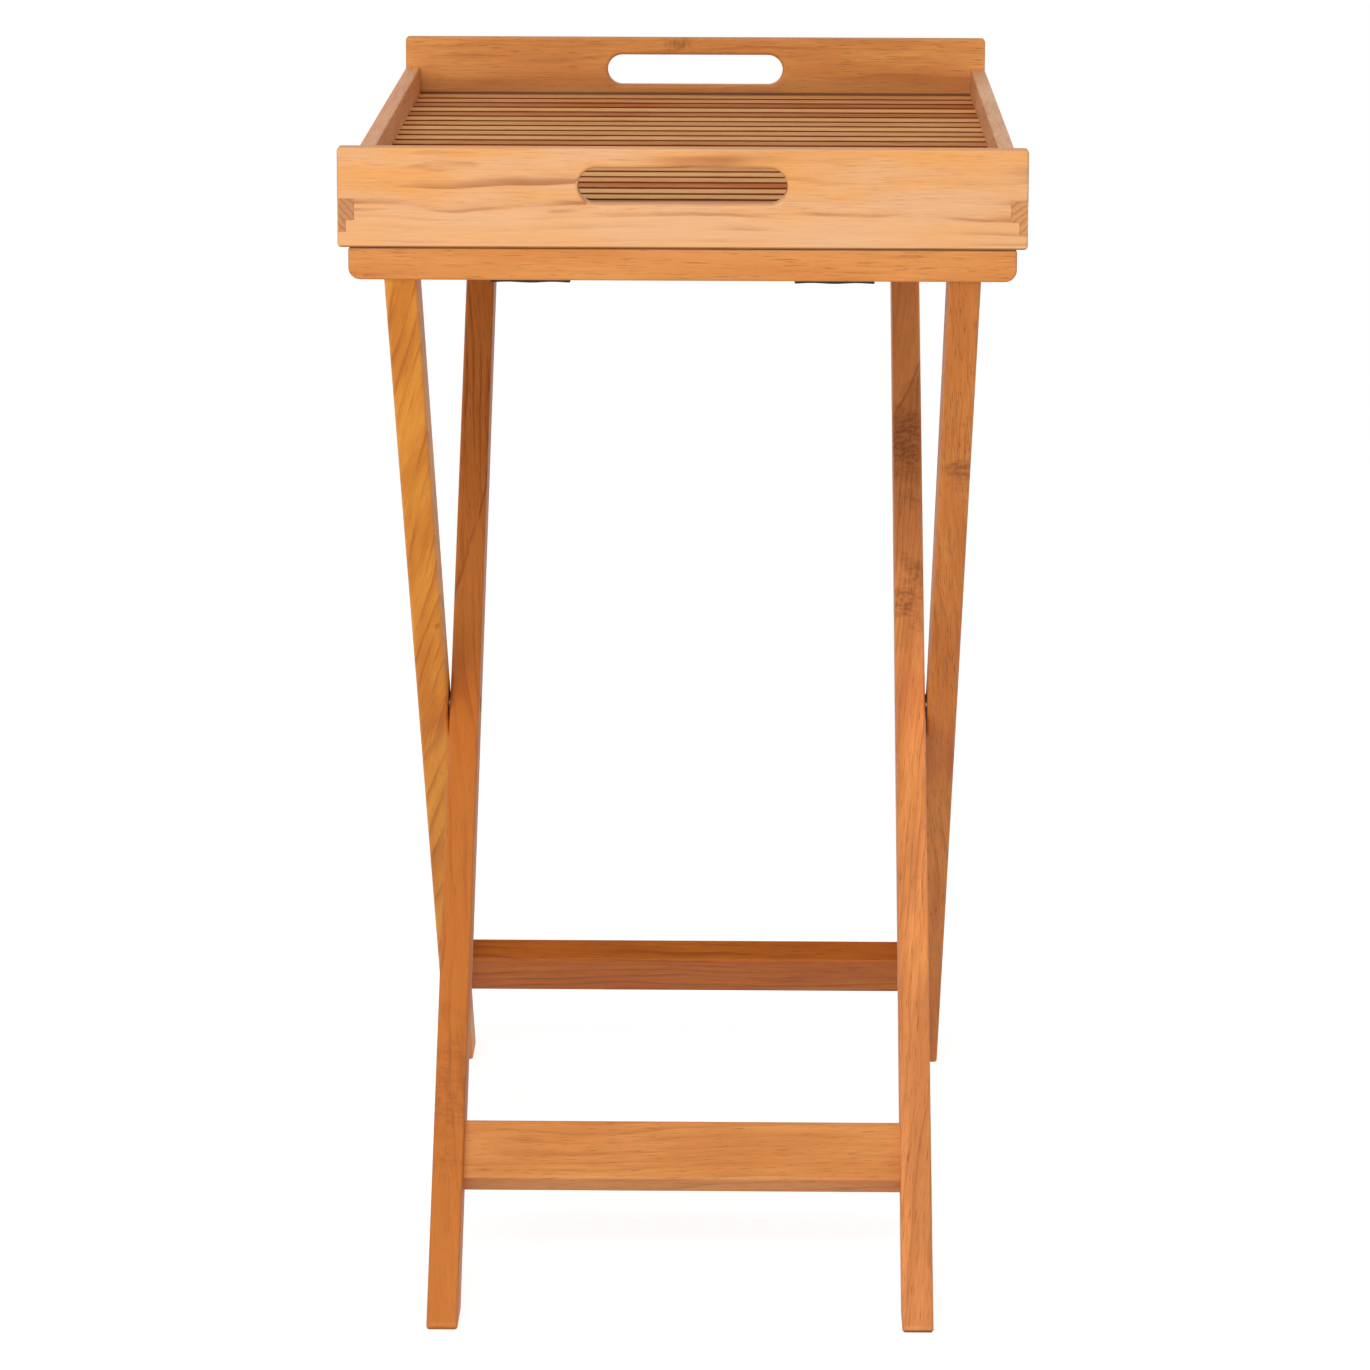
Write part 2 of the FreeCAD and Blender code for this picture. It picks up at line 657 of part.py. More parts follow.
def pivot_hardware():
    """A bolt, a nut and a washer at each of the two pivots, as three nodes."""
    bolt_end = f"({NUT_SEAT} - Sizes.cap_height + Sizes.bolt_end_setback)"
    bolt_top = f"({BOLT_SEAT} + Sizes.cap_height)"
    nut_top = f"({NUT_SEAT} - Sizes.cap_height)"
    washer_in = f"({INNER_CLEAR_WIDTH} / 2 + Sizes.leg_thickness)"
    washer_out = f"({OUTER_CLEAR_WIDTH} / 2)"
    loose = f"{BOLT_RADIUS} + Sizes.bolt_running_fit"
    bolts, nuts, washers = [], [], []
    for side, word in ((-1, "left"), (1, "right")):
        bolt_profile = [
            (bolt_end, "0"),
            (bolt_end, BOLT_RADIUS),
            (BOLT_SEAT, BOLT_RADIUS),
            (BOLT_SEAT, CAP_RADIUS),
            (bolt_top, CAP_RADIUS),
            (bolt_top, "0"),
        ]
        bolt = turned(f"pivot_bolt_{word}", side, bolt_profile)
        rim = value(f"{side} * {bolt_top}")
        ease(bolt, "Sizes.cap_clearance", lambda edge: lies_at(edge, "x", rim), "Rim")
        hex_socket(bolt, side, bolt_top)
        bolts.append(bolt)
        nut_profile = [
            (nut_top, loose),
            (nut_top, CAP_RADIUS),
            (NUT_SEAT, CAP_RADIUS),
            (NUT_SEAT, loose),
        ]
        nuts.append(turned(f"pivot_nut_{word}", side, nut_profile))
        washer_radius = "Sizes.washer_diameter / 2"
        washer_profile = [
            (washer_in, loose),
            (washer_in, washer_radius),
            (washer_out, washer_radius),
            (washer_out, loose),
        ]
        washers.append(turned(f"pivot_washer_{word}", side, washer_profile))
    group("pivot_bolts", bolts)
    group("pivot_nuts", nuts)
    group("pivot_washers", washers)


# The tray
handle_rail("tray_front_rail", -1)
handle_rail("tray_rear_rail", 1)
side_rail("tray_left_rail", -1)
side_rail("tray_right_rail", 1)
for number in range(1, SLAT_COUNT + 1):
    from_front = f"{number} * Sizes.slat_gap + {number - 0.5} * {SLAT_WIDTH}"
    slat(f"tray_slat_{number:02d}", f"{from_front} - {TRAY_INSIDE_DEPTH} / 2")

# The outer frame: top rail at the front, feet and stretcher at the back
leg("outer_leg_left", OUTER_LEG_X, -1, 1)
leg("outer_leg_right", OUTER_LEG_X, 1, 1)
stretcher("rear_stretcher", OUTER_CLEAR_WIDTH, "Sizes.rear_stretcher_drop", 1)
top_rail("front_top_rail", OUTER_LEG_X, -1)
strap_screws("strap_screws_front", -1)

# The inner frame: top rail at the back, feet and stretcher at the front
leg("inner_leg_left", INNER_LEG_X, -1, -1)
leg("inner_leg_right", INNER_LEG_X, 1, -1)
stretcher("front_stretcher", INNER_CLEAR_WIDTH, "Sizes.front_stretcher_drop", -1)
top_rail("rear_top_rail", INNER_LEG_X, 1)
strap_screws("strap_screws_rear", 1)

# The straps and the pivots
strap("strap_left", -1)
strap("strap_right", 1)
pivot_hardware()

doc.recompute()
for item in doc.Objects:
    if "Invalid" in item.State or "Error" in item.State:
        raise RuntimeError(f"{item.Label} failed: {item.State}")
os.makedirs("parts", exist_ok=True)
for node in nodes:
    if node.Shape.isNull() or not node.Shape.isValid():
        raise RuntimeError(f"{node.Label} has no valid shape")
for node in nodes:
    node.Shape.exportStep(f"parts/{node.Label}.step")
lean_angle = math.degrees(math.atan2(value(RAIL_CENTRE), value(RISE)))
print(f"{len(nodes)} nodes, slats {value(SLAT_WIDTH):.2f} mm wide, legs lean {lean_angle:.3f} degrees")
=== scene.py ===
"""Looks of the folding tray table: oiled teak, black webbing straps and dark steel fasteners."""

import logging
import math
from dataclasses import dataclass
from enum import Enum

import bmesh
import bpy
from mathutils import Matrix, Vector


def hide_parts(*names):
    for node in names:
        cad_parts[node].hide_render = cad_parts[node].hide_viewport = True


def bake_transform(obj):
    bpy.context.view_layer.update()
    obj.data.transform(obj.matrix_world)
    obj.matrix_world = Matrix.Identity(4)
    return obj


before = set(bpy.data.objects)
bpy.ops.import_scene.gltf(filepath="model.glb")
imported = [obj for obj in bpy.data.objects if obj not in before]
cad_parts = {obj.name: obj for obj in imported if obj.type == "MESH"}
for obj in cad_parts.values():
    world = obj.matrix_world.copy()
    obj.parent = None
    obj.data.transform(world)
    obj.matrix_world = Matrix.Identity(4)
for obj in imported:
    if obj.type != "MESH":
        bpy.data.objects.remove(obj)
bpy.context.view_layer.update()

LOG = logging.getLogger("tray_table")
MM = 0.001
LEG_LEAN = math.radians(44.543)

Rgb = tuple[float, float, float]
Pair = tuple[float, float]
Triple = tuple[float, float, float]
Rgba = tuple[float, float, float, float]
Socket = bpy.types.NodeSocket
Outputs = bpy.types.bpy_prop_collection
Feed = Socket | float | Triple | Rgba
Feeds = dict[str, Feed]

WHITE: Rgba = (1.0, 1.0, 1.0, 1.0)
BLACK: Rgba = (0.0, 0.0, 0.0, 1.0)
MIDDLE_GREY: Triple = (0.5, 0.5, 0.5)


def tint(rgb: Rgb) -> Rgba:
    """Turns a colour as seen on screen into the linear colour that shaders take, by the usual screen curve.

    Args:
        rgb: Red, green and blue from 0 to 255.

    Returns:
        Linear red, green, blue and an alpha of 1.
    """
    linear = []
    for channel in rgb:
        share = channel / 255
        linear.append(share / 12.92 if share <= 0.04045 else ((share + 0.055) / 1.055) ** 2.4)
    return (linear[0], linear[1], linear[2], 1.0)


class Mark(Enum):
    """A mark of the wood: its repeats in a millimetre along and across, its detail and its roughness."""

    SWAY = (0.0065, 0.016, 2.0, 0.5)
    UNEVEN_YEARS = (0.003, 0.05, 2.0, 0.5)
    RING_PATCHES = (0.011, 0.05, 2.0, 0.5)
    FIBRE = (0.035, 1.1, 4.0, 0.62)
    PORES = (0.07, 1.4, 2.0, 0.55)
    CLOUD = (0.009, 0.045, 3.0, 0.5)
    RUBBED_AND_LIT_EDGE = (0.03, 0.2, 3.0, 0.5)
    KNOT_BEND = (0.05, 0.05, 3.0, 0.5)
    KNOT_MOTTLE = (0.28, 0.16, 4.0, 0.65)
    BORDER_BEND = (0.012, 0.05, 2.0, 0.5)
    BORDER_FADE = (0.02, 0.1, 2.0, 0.5)


class Bench:
    """A node tree with short calls that place nodes and wire them."""

    def __init__(self, tree: bpy.types.NodeTree) -> None:
        """Takes the tree to work on."""
        self.tree = tree

    @classmethod
    def for_material(cls, name: str) -> tuple[bpy.types.Material, "Bench"]:
        """Makes an empty material.

        Args:
            name: The material's name.

        Returns:
            The material, and the bench for its nodes.
        """
        made = bpy.data.materials.new(name)
        made.use_nodes = True
        made.node_tree.nodes.clear()
        return made, cls(made.node_tree)

    def feed(self, socket: Socket, source: Feed) -> None:
        """Wires an output to a socket, or sets the socket's own value.

        Args:
            socket: The input to feed.
            source: An output socket, a number, a vector or a colour.
        """
        if isinstance(source, bpy.types.NodeSocket):
            self.tree.links.new(source, socket)
        else:
            socket.default_value = source

    def node(self, kind: str, feeds: Feeds | None = None, **settings: object) -> bpy.types.Node:
        """Places a node.

        Args:
            kind: The node's type.
            feeds: What its named inputs get.
            **settings: Its own properties.

        Returns:
            The new node.
        """
        node = self.tree.nodes.new(kind)
        for name, setting in settings.items():
            setattr(node, name, setting)
        for name, source in (feeds or {}).items():
            self.feed(node.inputs[name], source)
        return node

    def math(self, operation: str, *terms: Feed) -> Socket:
        """Places a Math node.

        Args:
            operation: What it works out.
            *terms: Its terms, in order.

        Returns:
            Its value.
        """
        node = self.node("ShaderNodeMath", operation=operation)
        for socket, term in zip(node.inputs, terms):
            self.feed(socket, term)
        return node.outputs[0]

    def times(self, first: Feed, second: Feed) -> Socket:
        """Multiplies two numbers."""
        return self.math("MULTIPLY", first, second)

    def vector(self, operation: str, *terms: Feed) -> Socket:
        """Places a Vector Math node.

        Args:
            operation: What it works out.
            *terms: Its terms, in order.

        Returns:
            Its vector, or its value where that is what it makes.
        """
        node = self.node("ShaderNodeVectorMath", operation=operation)
        for socket, term in zip(node.inputs, terms):
            self.feed(socket, term)
        single = operation in ("DOT_PRODUCT", "LENGTH")
        return node.outputs["Value" if single else "Vector"]

    def scaled(self, vector: Feed, factor: Feed) -> Socket:
        """Multiplies a vector by a number."""
        feeds: Feeds = {"Vector": vector, "Scale": factor}
        return self.node("ShaderNodeVectorMath", feeds, operation="SCALE").outputs[0]

    def parts(self, vector: Feed) -> Outputs:
        """Splits a vector into X, Y and Z."""
        return self.node("ShaderNodeSeparateXYZ", {"Vector": vector}).outputs

    def step(self, value: Feed, low: float, high: float, start: float = 0.0, end: float = 1.0) -> Socket:
        """Maps a value smoothly from one range to another.

        Args:
            value: What is mapped.
            low: Where the change begins.
            high: Where it ends.
            start: The result at `low`.
            end: The result at `high`.

        Returns:
            The mapped value.
        """
        feeds: Feeds = {"From Min": low, "From Max": high, "To Min": start, "To Max": end}
        node = self.node("ShaderNodeMapRange", feeds, interpolation_type="SMOOTHSTEP")
        self.feed(node.inputs["Value"], value)
        return node.outputs["Result"]

    def mix(self, factor: Feed, first: Feed, second: Feed) -> Socket:
        """Mixes two colours.

        Args:
            factor: The second colour's share.
            first: The colour at a share of 0.
            second: The colour at a share of 1.

        Returns:
            The mixed colour.
        """
        # The node uses the same socket names for numbers and colours, so the colours go by their places
        node = self.node("ShaderNodeMix", data_type="RGBA")
        for index, source in ((0, factor), (6, first), (7, second)):
            self.feed(node.inputs[index], source)
        return node.outputs[2]

    def noise(self, place: Feed, detail: float, roughness: float = 0.5) -> Outputs:
        """Places a noise texture that reads a place already scaled to its size, and returns its outputs."""
        feeds: Feeds = {"Vector": place, "Scale": 1.0, "Detail": detail, "Roughness": roughness}
        return self.node("ShaderNodeTexNoise", feeds).outputs

    def mark(self, place: Feed, mark: Mark) -> Outputs:
        """Places the noise of a mark at a place on a board, and returns its outputs."""
        along, across, detail, roughness = mark.value
        return self.noise(self.vector("MULTIPLY", place, (along, across, across)), detail, roughness)

    def surface(self, feeds: Feeds) -> None:
        """Ends a material with a Principled shader that gets these feeds."""
        shader = self.node("ShaderNodeBsdfPrincipled", feeds)
        self.feed(self.node("ShaderNodeOutputMaterial").inputs["Surface"], shader.outputs[0])


class Kind(Enum):
    """What a group's socket carries."""

    VALUE = "NodeSocketFloat"
    VECTOR = "NodeSocketVector"
    COLOUR = "NodeSocketColor"


class Effect:
    """A shader effect that several materials share, as a node group with named inputs and outputs."""

    def __init__(self, name: str, inputs: dict[str, Kind], outputs: dict[str, Kind]) -> None:
        """Makes the empty group.

        Args:
            name: The group's name.
            inputs: Its inputs and what they carry.
            outputs: Its outputs and what they carry.
        """
        self.tree = bpy.data.node_groups.new(name, "ShaderNodeTree")
        for way, sockets in (("INPUT", inputs), ("OUTPUT", outputs)):
            for label, kind in sockets.items():
                self.tree.interface.new_socket(name=label, in_out=way, socket_type=kind.value)
        self.bench = Bench(self.tree)
        self.given = self.bench.node("NodeGroupInput").outputs
        self.result = self.bench.node("NodeGroupOutput").inputs

    def put(self, label: str, source: Feed) -> None:
        """Wires what the group gives out under a name."""
        self.bench.feed(self.result[label], source)

    def place(self, bench: Bench, feeds: Feeds) -> Outputs:
        """Places the group in a material and returns its outputs."""
        return bench.node("ShaderNodeGroup", feeds, node_tree=self.tree).outputs


class Grain(Enum):
    """Which way a board runs: the direction along it and the one across its broad face."""

    ACROSS_UPRIGHT = ((1.0, 0.0, 0.0), (0.0, 0.0, 1.0))
    ACROSS_FLAT = ((1.0, 0.0, 0.0), (0.0, 1.0, 0.0))
    REAR_BAR = ((1.0, 0.0, 0.0), (0.0, -math.sin(LEG_LEAN), math.cos(LEG_LEAN)))
    FRONT_BAR = ((1.0, 0.0, 0.0), (0.0, math.sin(LEG_LEAN), math.cos(LEG_LEAN)))
    BACKWARDS = ((0.0, 1.0, 0.0), (0.0, 0.0, 1.0))
    OUTER_LEG = ((0.0, -math.sin(LEG_LEAN), math.cos(LEG_LEAN)), (1.0, 0.0, 0.0))
    INNER_LEG = ((0.0, math.sin(LEG_LEAN), math.cos(LEG_LEAN)), (1.0, 0.0, 0.0))


@dataclass(frozen=True)
class Knot:
    """Dark wood where a branch grew.

    The place is along, across and through the board. The strength is how far the dark wood covers the
    board's own, and `black` the share of black in it.
    """

    place: Triple
    size: float
    strength: float = 0.75
    black: float = 0.25


@dataclass(frozen=True)
class Sapwood:
    """A paler strip along one side of a board.

    Its border lies across the board at the limit plus the slant times the place along. The side is 1
    where the pale wood lies past the border and -1 where it lies before it. The strengths are those of
    the pale wood and of the dark line along the border.
    """

    limit: float
    slant: float
    side: int
    strength: float = 0.45
    edge: float = 0.5


@dataclass(frozen=True)
class SeamShade:
    """Painted shade where another piece meets a board: a shadow line and soft shade.

    The level is the line's place across the board. The face is a place through the board, or None where
    the line shows on both faces. The first two strengths are those of the painted soft shade and of the
    painted shadow line, `black` is the share of black in the line, and each fade says how far from the
    seam its mark begins to fade and where it ends.
    """

    level: float
    face: float | None = None
    soft_shade: float = 0.0
    line: float = 0.8
    black: float = 0.75
    soft_shade_fade: Pair = (3.0, 26.0)
    line_fade: Pair = (0.5, 1.6)
    face_fade: Pair = (1.0, 3.0)


@dataclass(frozen=True)
class TeakFinish:
    """One board's wood: its colours, how its rings lie and how strong its marks are.

    Colours are as seen on screen, 0 to 255. Places and lengths are millimetres of the table's frame,
    measured along the board, across its broad face and through it.
    """

    name: str
    pale: Rgb
    body: Rgb
    dark: Rgb
    end: Rgb
    seed: float
    pith: Pair
    ring: float = 4.0
    wander: float = 16.0
    skew: float = 0.0
    rings: float = 0.4
    fibre: float = 0.3
    pores: float = 0.45
    painted_side_shade: float = 0.0
    wear_and_highlight: float = 0.2
    roughness: float = 0.56
    sheen: float = 0.3
    bump: float = 0.25
    relief: float = 0.2
    knots: tuple[Knot, ...] = ()
    sapwood: Sapwood | None = None
    seam: SeamShade | None = None


@dataclass(frozen=True)
class SlatLot:
    """How the slats differ from one to the next.

    Lengths are millimetres: where the first slat's share of the deck begins, and the pitch. The tone bias
    is below 1 where pale slats are the more common. Spreads are along, across and through a slat.
    """

    start: float
    pitch: float
    darkest: Rgb
    palest: Rgb
    tone_bias: float = 0.6
    pale_share: float = 0.25
    pith_spread: Triple = (0.0, 30.0, 25.0)
    seed_spread: Triple = (900.0, 400.0, 40.0)


class TeakShop:
    """Makes the teak materials from the effects that they share."""

    MARKS = ("Years", "Rings", "Fibre", "Pores", "Cloud")
    YEAR_SHIFT = 2.2
    LATE_SHARPNESS = 1.8
    BLACK_IN_DEEP = 0.6
    END_FIBRE = 0.3
    END_YEARS = 0.45
    END_COVER = 0.9
    END_ROUGHNESS = 0.12
    FIBRE_GLOSS = 0.08
    FIBRE_HEIGHT = 0.35
    LEAST_HEIGHT = 0.65
    PORE_DEPTH = 0.8
    KNOT_SHAPE: Triple = (0.5, 0.8, 0.4)
    KNOT_RAGGED = 2.4
    BORDER_RAGGED = 9.0

    def __init__(self) -> None:
        """Builds the shared effects once."""
        self.axes = self.piece_axes()
        self.figure = self.teak_figure()
        self.tone = self.teak_tone()
        self.wear_and_highlight = self.edge_wear_and_highlight()
        self.branch = self.branch_knot()
        self.rim = self.sapwood_strip()

    @staticmethod
    def piece_axes() -> Effect:
        """Builds the effect that measures a place in millimetres and a facing by a board's own directions.

        Returns:
            The effect. Both its vectors are along the board, across it and through it.
        """
        inputs = {"Along": Kind.VECTOR, "Across": Kind.VECTOR}
        effect = Effect("piece_axes", inputs, {"Place": Kind.VECTOR, "Facing": Kind.VECTOR})
        bench, given = effect.bench, effect.given
        seen = bench.node("ShaderNodeTexCoord").outputs
        through = bench.vector("CROSS_PRODUCT", given["Along"], given["Across"])
        ways = (given["Along"], given["Across"], through)

        def measured(source: Socket) -> Socket:
            """Measures a vector along the board, across it and through it."""
            lengths = [bench.vector("DOT_PRODUCT", source, way) for way in ways]
            return bench.node("ShaderNodeCombineXYZ", dict(zip("XYZ", lengths))).outputs[0]

        effect.put("Place", bench.scaled(measured(seen["Object"]), 1 / MM))
        effect.put("Facing", bench.vector("ABSOLUTE", measured(seen["Normal"])))
        return effect

    @classmethod
    def teak_figure(cls) -> Effect:
        """Builds the marks of the wood: growth rings about a pith, fibres, pores and slow changes.

        Returns:
            The effect, with a value for each mark.
        """
        inputs = {
            "Place": Kind.VECTOR,
            "Seed": Kind.VECTOR,
            "Pith": Kind.VECTOR,
            "Ring": Kind.VALUE,
            "Wander": Kind.VALUE,
        }
        effect = Effect("teak_figure", inputs, {name: Kind.VALUE for name in cls.MARKS})
        bench, given = effect.bench, effect.given
        spot = bench.vector("ADD", given["Place"], given["Seed"])

        # Distance from the pith, bent a little along the board, counted in years
        sway = bench.vector("SUBTRACT", bench.mark(spot, Mark.SWAY)["Color"], MIDDLE_GREY)
        from_pith = bench.vector("SUBTRACT", given["Place"], given["Pith"])
        bent = bench.vector("ADD", from_pith, bench.scaled(sway, given["Wander"]))
        radius = bench.vector("LENGTH", bench.vector("MULTIPLY", bent, (0.0, 1.0, 1.0)))
        years = bench.math("DIVIDE", radius, given["Ring"])
        uneven = bench.mark(spot, Mark.UNEVEN_YEARS)[0]
        year = bench.math("FRACT", bench.math("MULTIPLY_ADD", uneven, cls.YEAR_SHIFT, years))

        # Each year darkens slowly and ends sharply
        late = bench.times(bench.step(year, 0.3, 0.92), bench.step(year, 0.92, 1.0, 1.0, 0.0))
        effect.put("Years", late)
        patches = bench.step(bench.mark(spot, Mark.RING_PATCHES)[0], 0.38, 0.64, 0.08, 1.0)
        effect.put("Rings", bench.times(bench.math("POWER", late, cls.LATE_SHARPNESS), patches))

        effect.put("Fibre", bench.step(bench.mark(spot, Mark.FIBRE)[0], 0.25, 0.75))
        effect.put("Pores", bench.step(bench.mark(spot, Mark.PORES)[0], 0.57, 0.71))
        effect.put("Cloud", bench.step(bench.mark(spot, Mark.CLOUD)[0], 0.34, 0.66))
        return effect

    @classmethod
    def teak_tone(cls) -> Effect:
        """Builds the colour, roughness and height that the wood's marks give a board.

        Returns:
            The effect.
        """
        strengths = ("Ring Strength", "Fibre Strength", "Pore Strength", "Painted Side Shade", "Roughness")
        inputs = {name: Kind.VALUE for name in cls.MARKS + strengths}
        inputs |= {name: Kind.COLOUR for name in ("Pale", "Body", "Dark", "End")}
        inputs["Facing"] = Kind.VECTOR
        outputs = {"Colour": Kind.COLOUR, "Roughness": Kind.VALUE, "Height": Kind.VALUE}
        effect = Effect("teak_tone", inputs, outputs)
        bench, given = effect.bench, effect.given
        facing = bench.parts(given["Facing"])

        # Long grain
        colour = bench.mix(given["Cloud"], given["Body"], given["Pale"])
        streak = bench.times(bench.math("SUBTRACT", 1.0, given["Fibre"]), given["Fibre Strength"])
        colour = bench.mix(streak, colour, given["Dark"])
        rings = bench.times(given["Rings"], given["Ring Strength"])
        colour = bench.mix(rings, colour, given["Dark"])

        # End grain, on the faces that look along the board
        deep = bench.mix(cls.BLACK_IN_DEEP, given["Dark"], BLACK)
        end = bench.step(facing["X"], 0.75, 0.95)
        grainy = bench.mix(bench.times(given["Fibre"], cls.END_FIBRE), given["End"], deep)
        grainy = bench.mix(bench.times(given["Years"], cls.END_YEARS), grainy, deep)
        colour = bench.mix(bench.times(end, cls.END_COVER), colour, grainy)

        colour = bench.mix(bench.times(given["Pores"], given["Pore Strength"]), colour, deep)
        # Painted shade on the faces that look across a board, as in the gaps between slats
        shade = bench.times(bench.step(facing["Y"], 0.3, 0.8), given["Painted Side Shade"])
        effect.put("Colour", bench.mix(shade, colour, deep))
        rough = bench.math("MULTIPLY_ADD", given["Fibre"], -cls.FIBRE_GLOSS, given["Roughness"])
        effect.put("Roughness", bench.math("MULTIPLY_ADD", end, cls.END_ROUGHNESS, rough))
        height = bench.math("MULTIPLY_ADD", given["Fibre"], cls.FIBRE_HEIGHT, cls.LEAST_HEIGHT)
        effect.put("Height", bench.math("MULTIPLY_ADD", given["Pores"], -cls.PORE_DEPTH, height))
        return effect

    @staticmethod
    def edge_wear_and_highlight() -> Effect:
        """Builds the mask of rounded edges paled by wear and by painted highlight here and there.

        Returns:
            The effect.
        """
        effect = Effect("edge_wear_and_highlight", {"Facing": Kind.VECTOR, "Place": Kind.VECTOR}, {"Wear And Highlight": Kind.VALUE})
        bench, given = effect.bench, effect.given
        facing = bench.parts(given["Facing"])
        most = bench.math("MAXIMUM", bench.math("MAXIMUM", facing["X"], facing["Y"]), facing["Z"])
        rounded = bench.step(most, 0.8, 0.985, 1.0, 0.0)
        broken = bench.step(bench.mark(given["Place"], Mark.RUBBED_AND_LIT_EDGE)[0], 0.3, 0.65, 0.3, 1.0)
        effect.put("Wear And Highlight", bench.times(rounded, broken))
        return effect

    @classmethod
    def branch_knot(cls) -> Effect:
        """Builds the mask of the dark, mottled wood where a branch grew out of a board.

        Returns:
            The effect.
        """
        inputs = {"Place": Kind.VECTOR, "Centre": Kind.VECTOR, "Size": Kind.VALUE}
        effect = Effect("branch_knot", inputs, {"Knot": Kind.VALUE})
        bench, given = effect.bench, effect.given
        away = bench.vector("SUBTRACT", given["Place"], given["Centre"])
        away = bench.vector("MULTIPLY", away, cls.KNOT_SHAPE)
        bend = bench.vector("SUBTRACT", bench.mark(given["Place"], Mark.KNOT_BEND)["Color"], MIDDLE_GREY)
        ragged = bench.scaled(bend, bench.times(given["Size"], cls.KNOT_RAGGED))
        away = bench.vector("ADD", away, ragged)
        distance = bench.math("DIVIDE", bench.vector("LENGTH", away), given["Size"])
        near = bench.step(distance, 0.25, 1.1, 1.0, 0.0)
        mottle = bench.step(bench.mark(given["Place"], Mark.KNOT_MOTTLE)[0], 0.36, 0.62, 0.25, 1.0)
        effect.put("Knot", bench.times(near, mottle))
        return effect

    @classmethod
    def sapwood_strip(cls) -> Effect:
        """Builds the masks of the pale sapwood past a slanting border and of the dark line along it.

        Returns:
            The effect.
        """
        inputs = {"Place": Kind.VECTOR, "Limit": Kind.VALUE, "Slant": Kind.VALUE, "Side": Kind.VALUE}
        effect = Effect("sapwood_strip", inputs, {"Sapwood": Kind.VALUE, "Edge": Kind.VALUE})
        bench, given = effect.bench, effect.given
        place = bench.parts(given["Place"])
        bend = bench.math("SUBTRACT", bench.mark(given["Place"], Mark.BORDER_BEND)[0], 0.5)
        border = bench.math("MULTIPLY_ADD", place["X"], given["Slant"], given["Limit"])
        border = bench.math("MULTIPLY_ADD", bend, cls.BORDER_RAGGED, border)
        past = bench.times(bench.math("SUBTRACT", place["Y"], border), given["Side"])
        effect.put("Sapwood", bench.step(past, -1.2, 1.6))
        faded = bench.step(bench.mark(given["Place"], Mark.BORDER_FADE)[0], 0.4, 0.6)
        line = bench.step(bench.math("ABSOLUTE", past), 0.3, 1.6, 1.0, 0.0)
        effect.put("Edge", bench.times(line, faded))
        return effect

    def board(self, finish: TeakFinish, grain: Grain) -> bpy.types.Material:
        """Makes one board's material.

        Args:
            finish: The board's wood.
            grain: Which way it runs.

        Returns:
            The material.
        """
        made, bench = Bench.for_material(finish.name)
        figure: Feeds = {"Pith": (0.0, *finish.pith), "Seed": (finish.seed, 0.0, 0.0)}
        self.wire(bench, finish, grain, figure, {})
        return made

    def slats(self, finish: TeakFinish, lot: SlatLot) -> bpy.types.Material:
        """Makes the slats' material, whose figure and tone differ from slat to slat.

        Args:
            finish: The slats' wood.
            lot: How they differ.

        Returns:
            The material.
        """
        made, bench = Bench.for_material(finish.name)
        back = bench.parts(bench.node("ShaderNodeTexCoord").outputs["Object"])["Y"]
        count = bench.math("MULTIPLY_ADD", back, 1 / (MM * lot.pitch), -lot.start / lot.pitch)
        number = bench.math("FLOOR", count)
        drawn = bench.node("ShaderNodeTexWhiteNoise", {"W": number}, noise_dimensions="1D").outputs
        centre = bench.math("MULTIPLY_ADD", number, lot.pitch, lot.start + lot.pitch / 2)
        pith = bench.node("ShaderNodeCombineXYZ", {"Y": centre, "Z": finish.pith[1]}).outputs[0]
        pith = bench.vector("ADD", pith, bench.vector("MULTIPLY", drawn["Color"], lot.pith_spread))
        seed = bench.vector("MULTIPLY", drawn["Color"], lot.seed_spread)
        bias = bench.math("POWER", drawn["Value"], lot.tone_bias)
        toned = bench.mix(bias, tint(lot.darkest), tint(lot.palest))
        colours: Feeds = {"Body": toned, "Pale": bench.mix(lot.pale_share, toned, tint(finish.pale))}
        self.wire(bench, finish, Grain.ACROSS_FLAT, {"Pith": pith, "Seed": seed}, colours)
        return made

    def wire(self, bench: Bench, finish: TeakFinish, grain: Grain, figure: Feeds, colours: Feeds) -> None:
        """Wires a teak material.

        Args:
            bench: The material's bench.
            finish: Its wood.
            grain: Which way it runs.
            figure: The figure's pith and seed.
            colours: Colours that change over the surface, in place of the finish's own.
        """
        along, across = Vector(grain.value[0]), Vector(grain.value[1])
        turn = math.radians(finish.skew)
        run = along * math.cos(turn) + across * math.sin(turn)
        face = across * math.cos(turn) - along * math.sin(turn)
        square = self.axes.place(bench, {"Along": tuple(along), "Across": tuple(across)})
        slanted = self.axes.place(bench, {"Along": tuple(run), "Across": tuple(face)})
        feeds: Feeds = {"Place": slanted["Place"], "Ring": finish.ring, "Wander": finish.wander}
        marks = self.figure.place(bench, feeds | figure)
        feeds = {name: marks[name] for name in self.MARKS}
        feeds |= {
            "Ring Strength": finish.rings,
            "Fibre Strength": finish.fibre,
            "Pore Strength": finish.pores,
            "Painted Side Shade": finish.painted_side_shade,
            "Roughness": finish.roughness,
            "Facing": square["Facing"],
            "Pale": tint(finish.pale),
            "Body": tint(finish.body),
            "Dark": tint(finish.dark),
            "End": tint(finish.end),
        }
        tone = self.tone.place(bench, feeds | colours)
        colour = self.with_sapwood(bench, finish, square, tone["Colour"])
        colour = self.with_knots(bench, finish, square, colour)
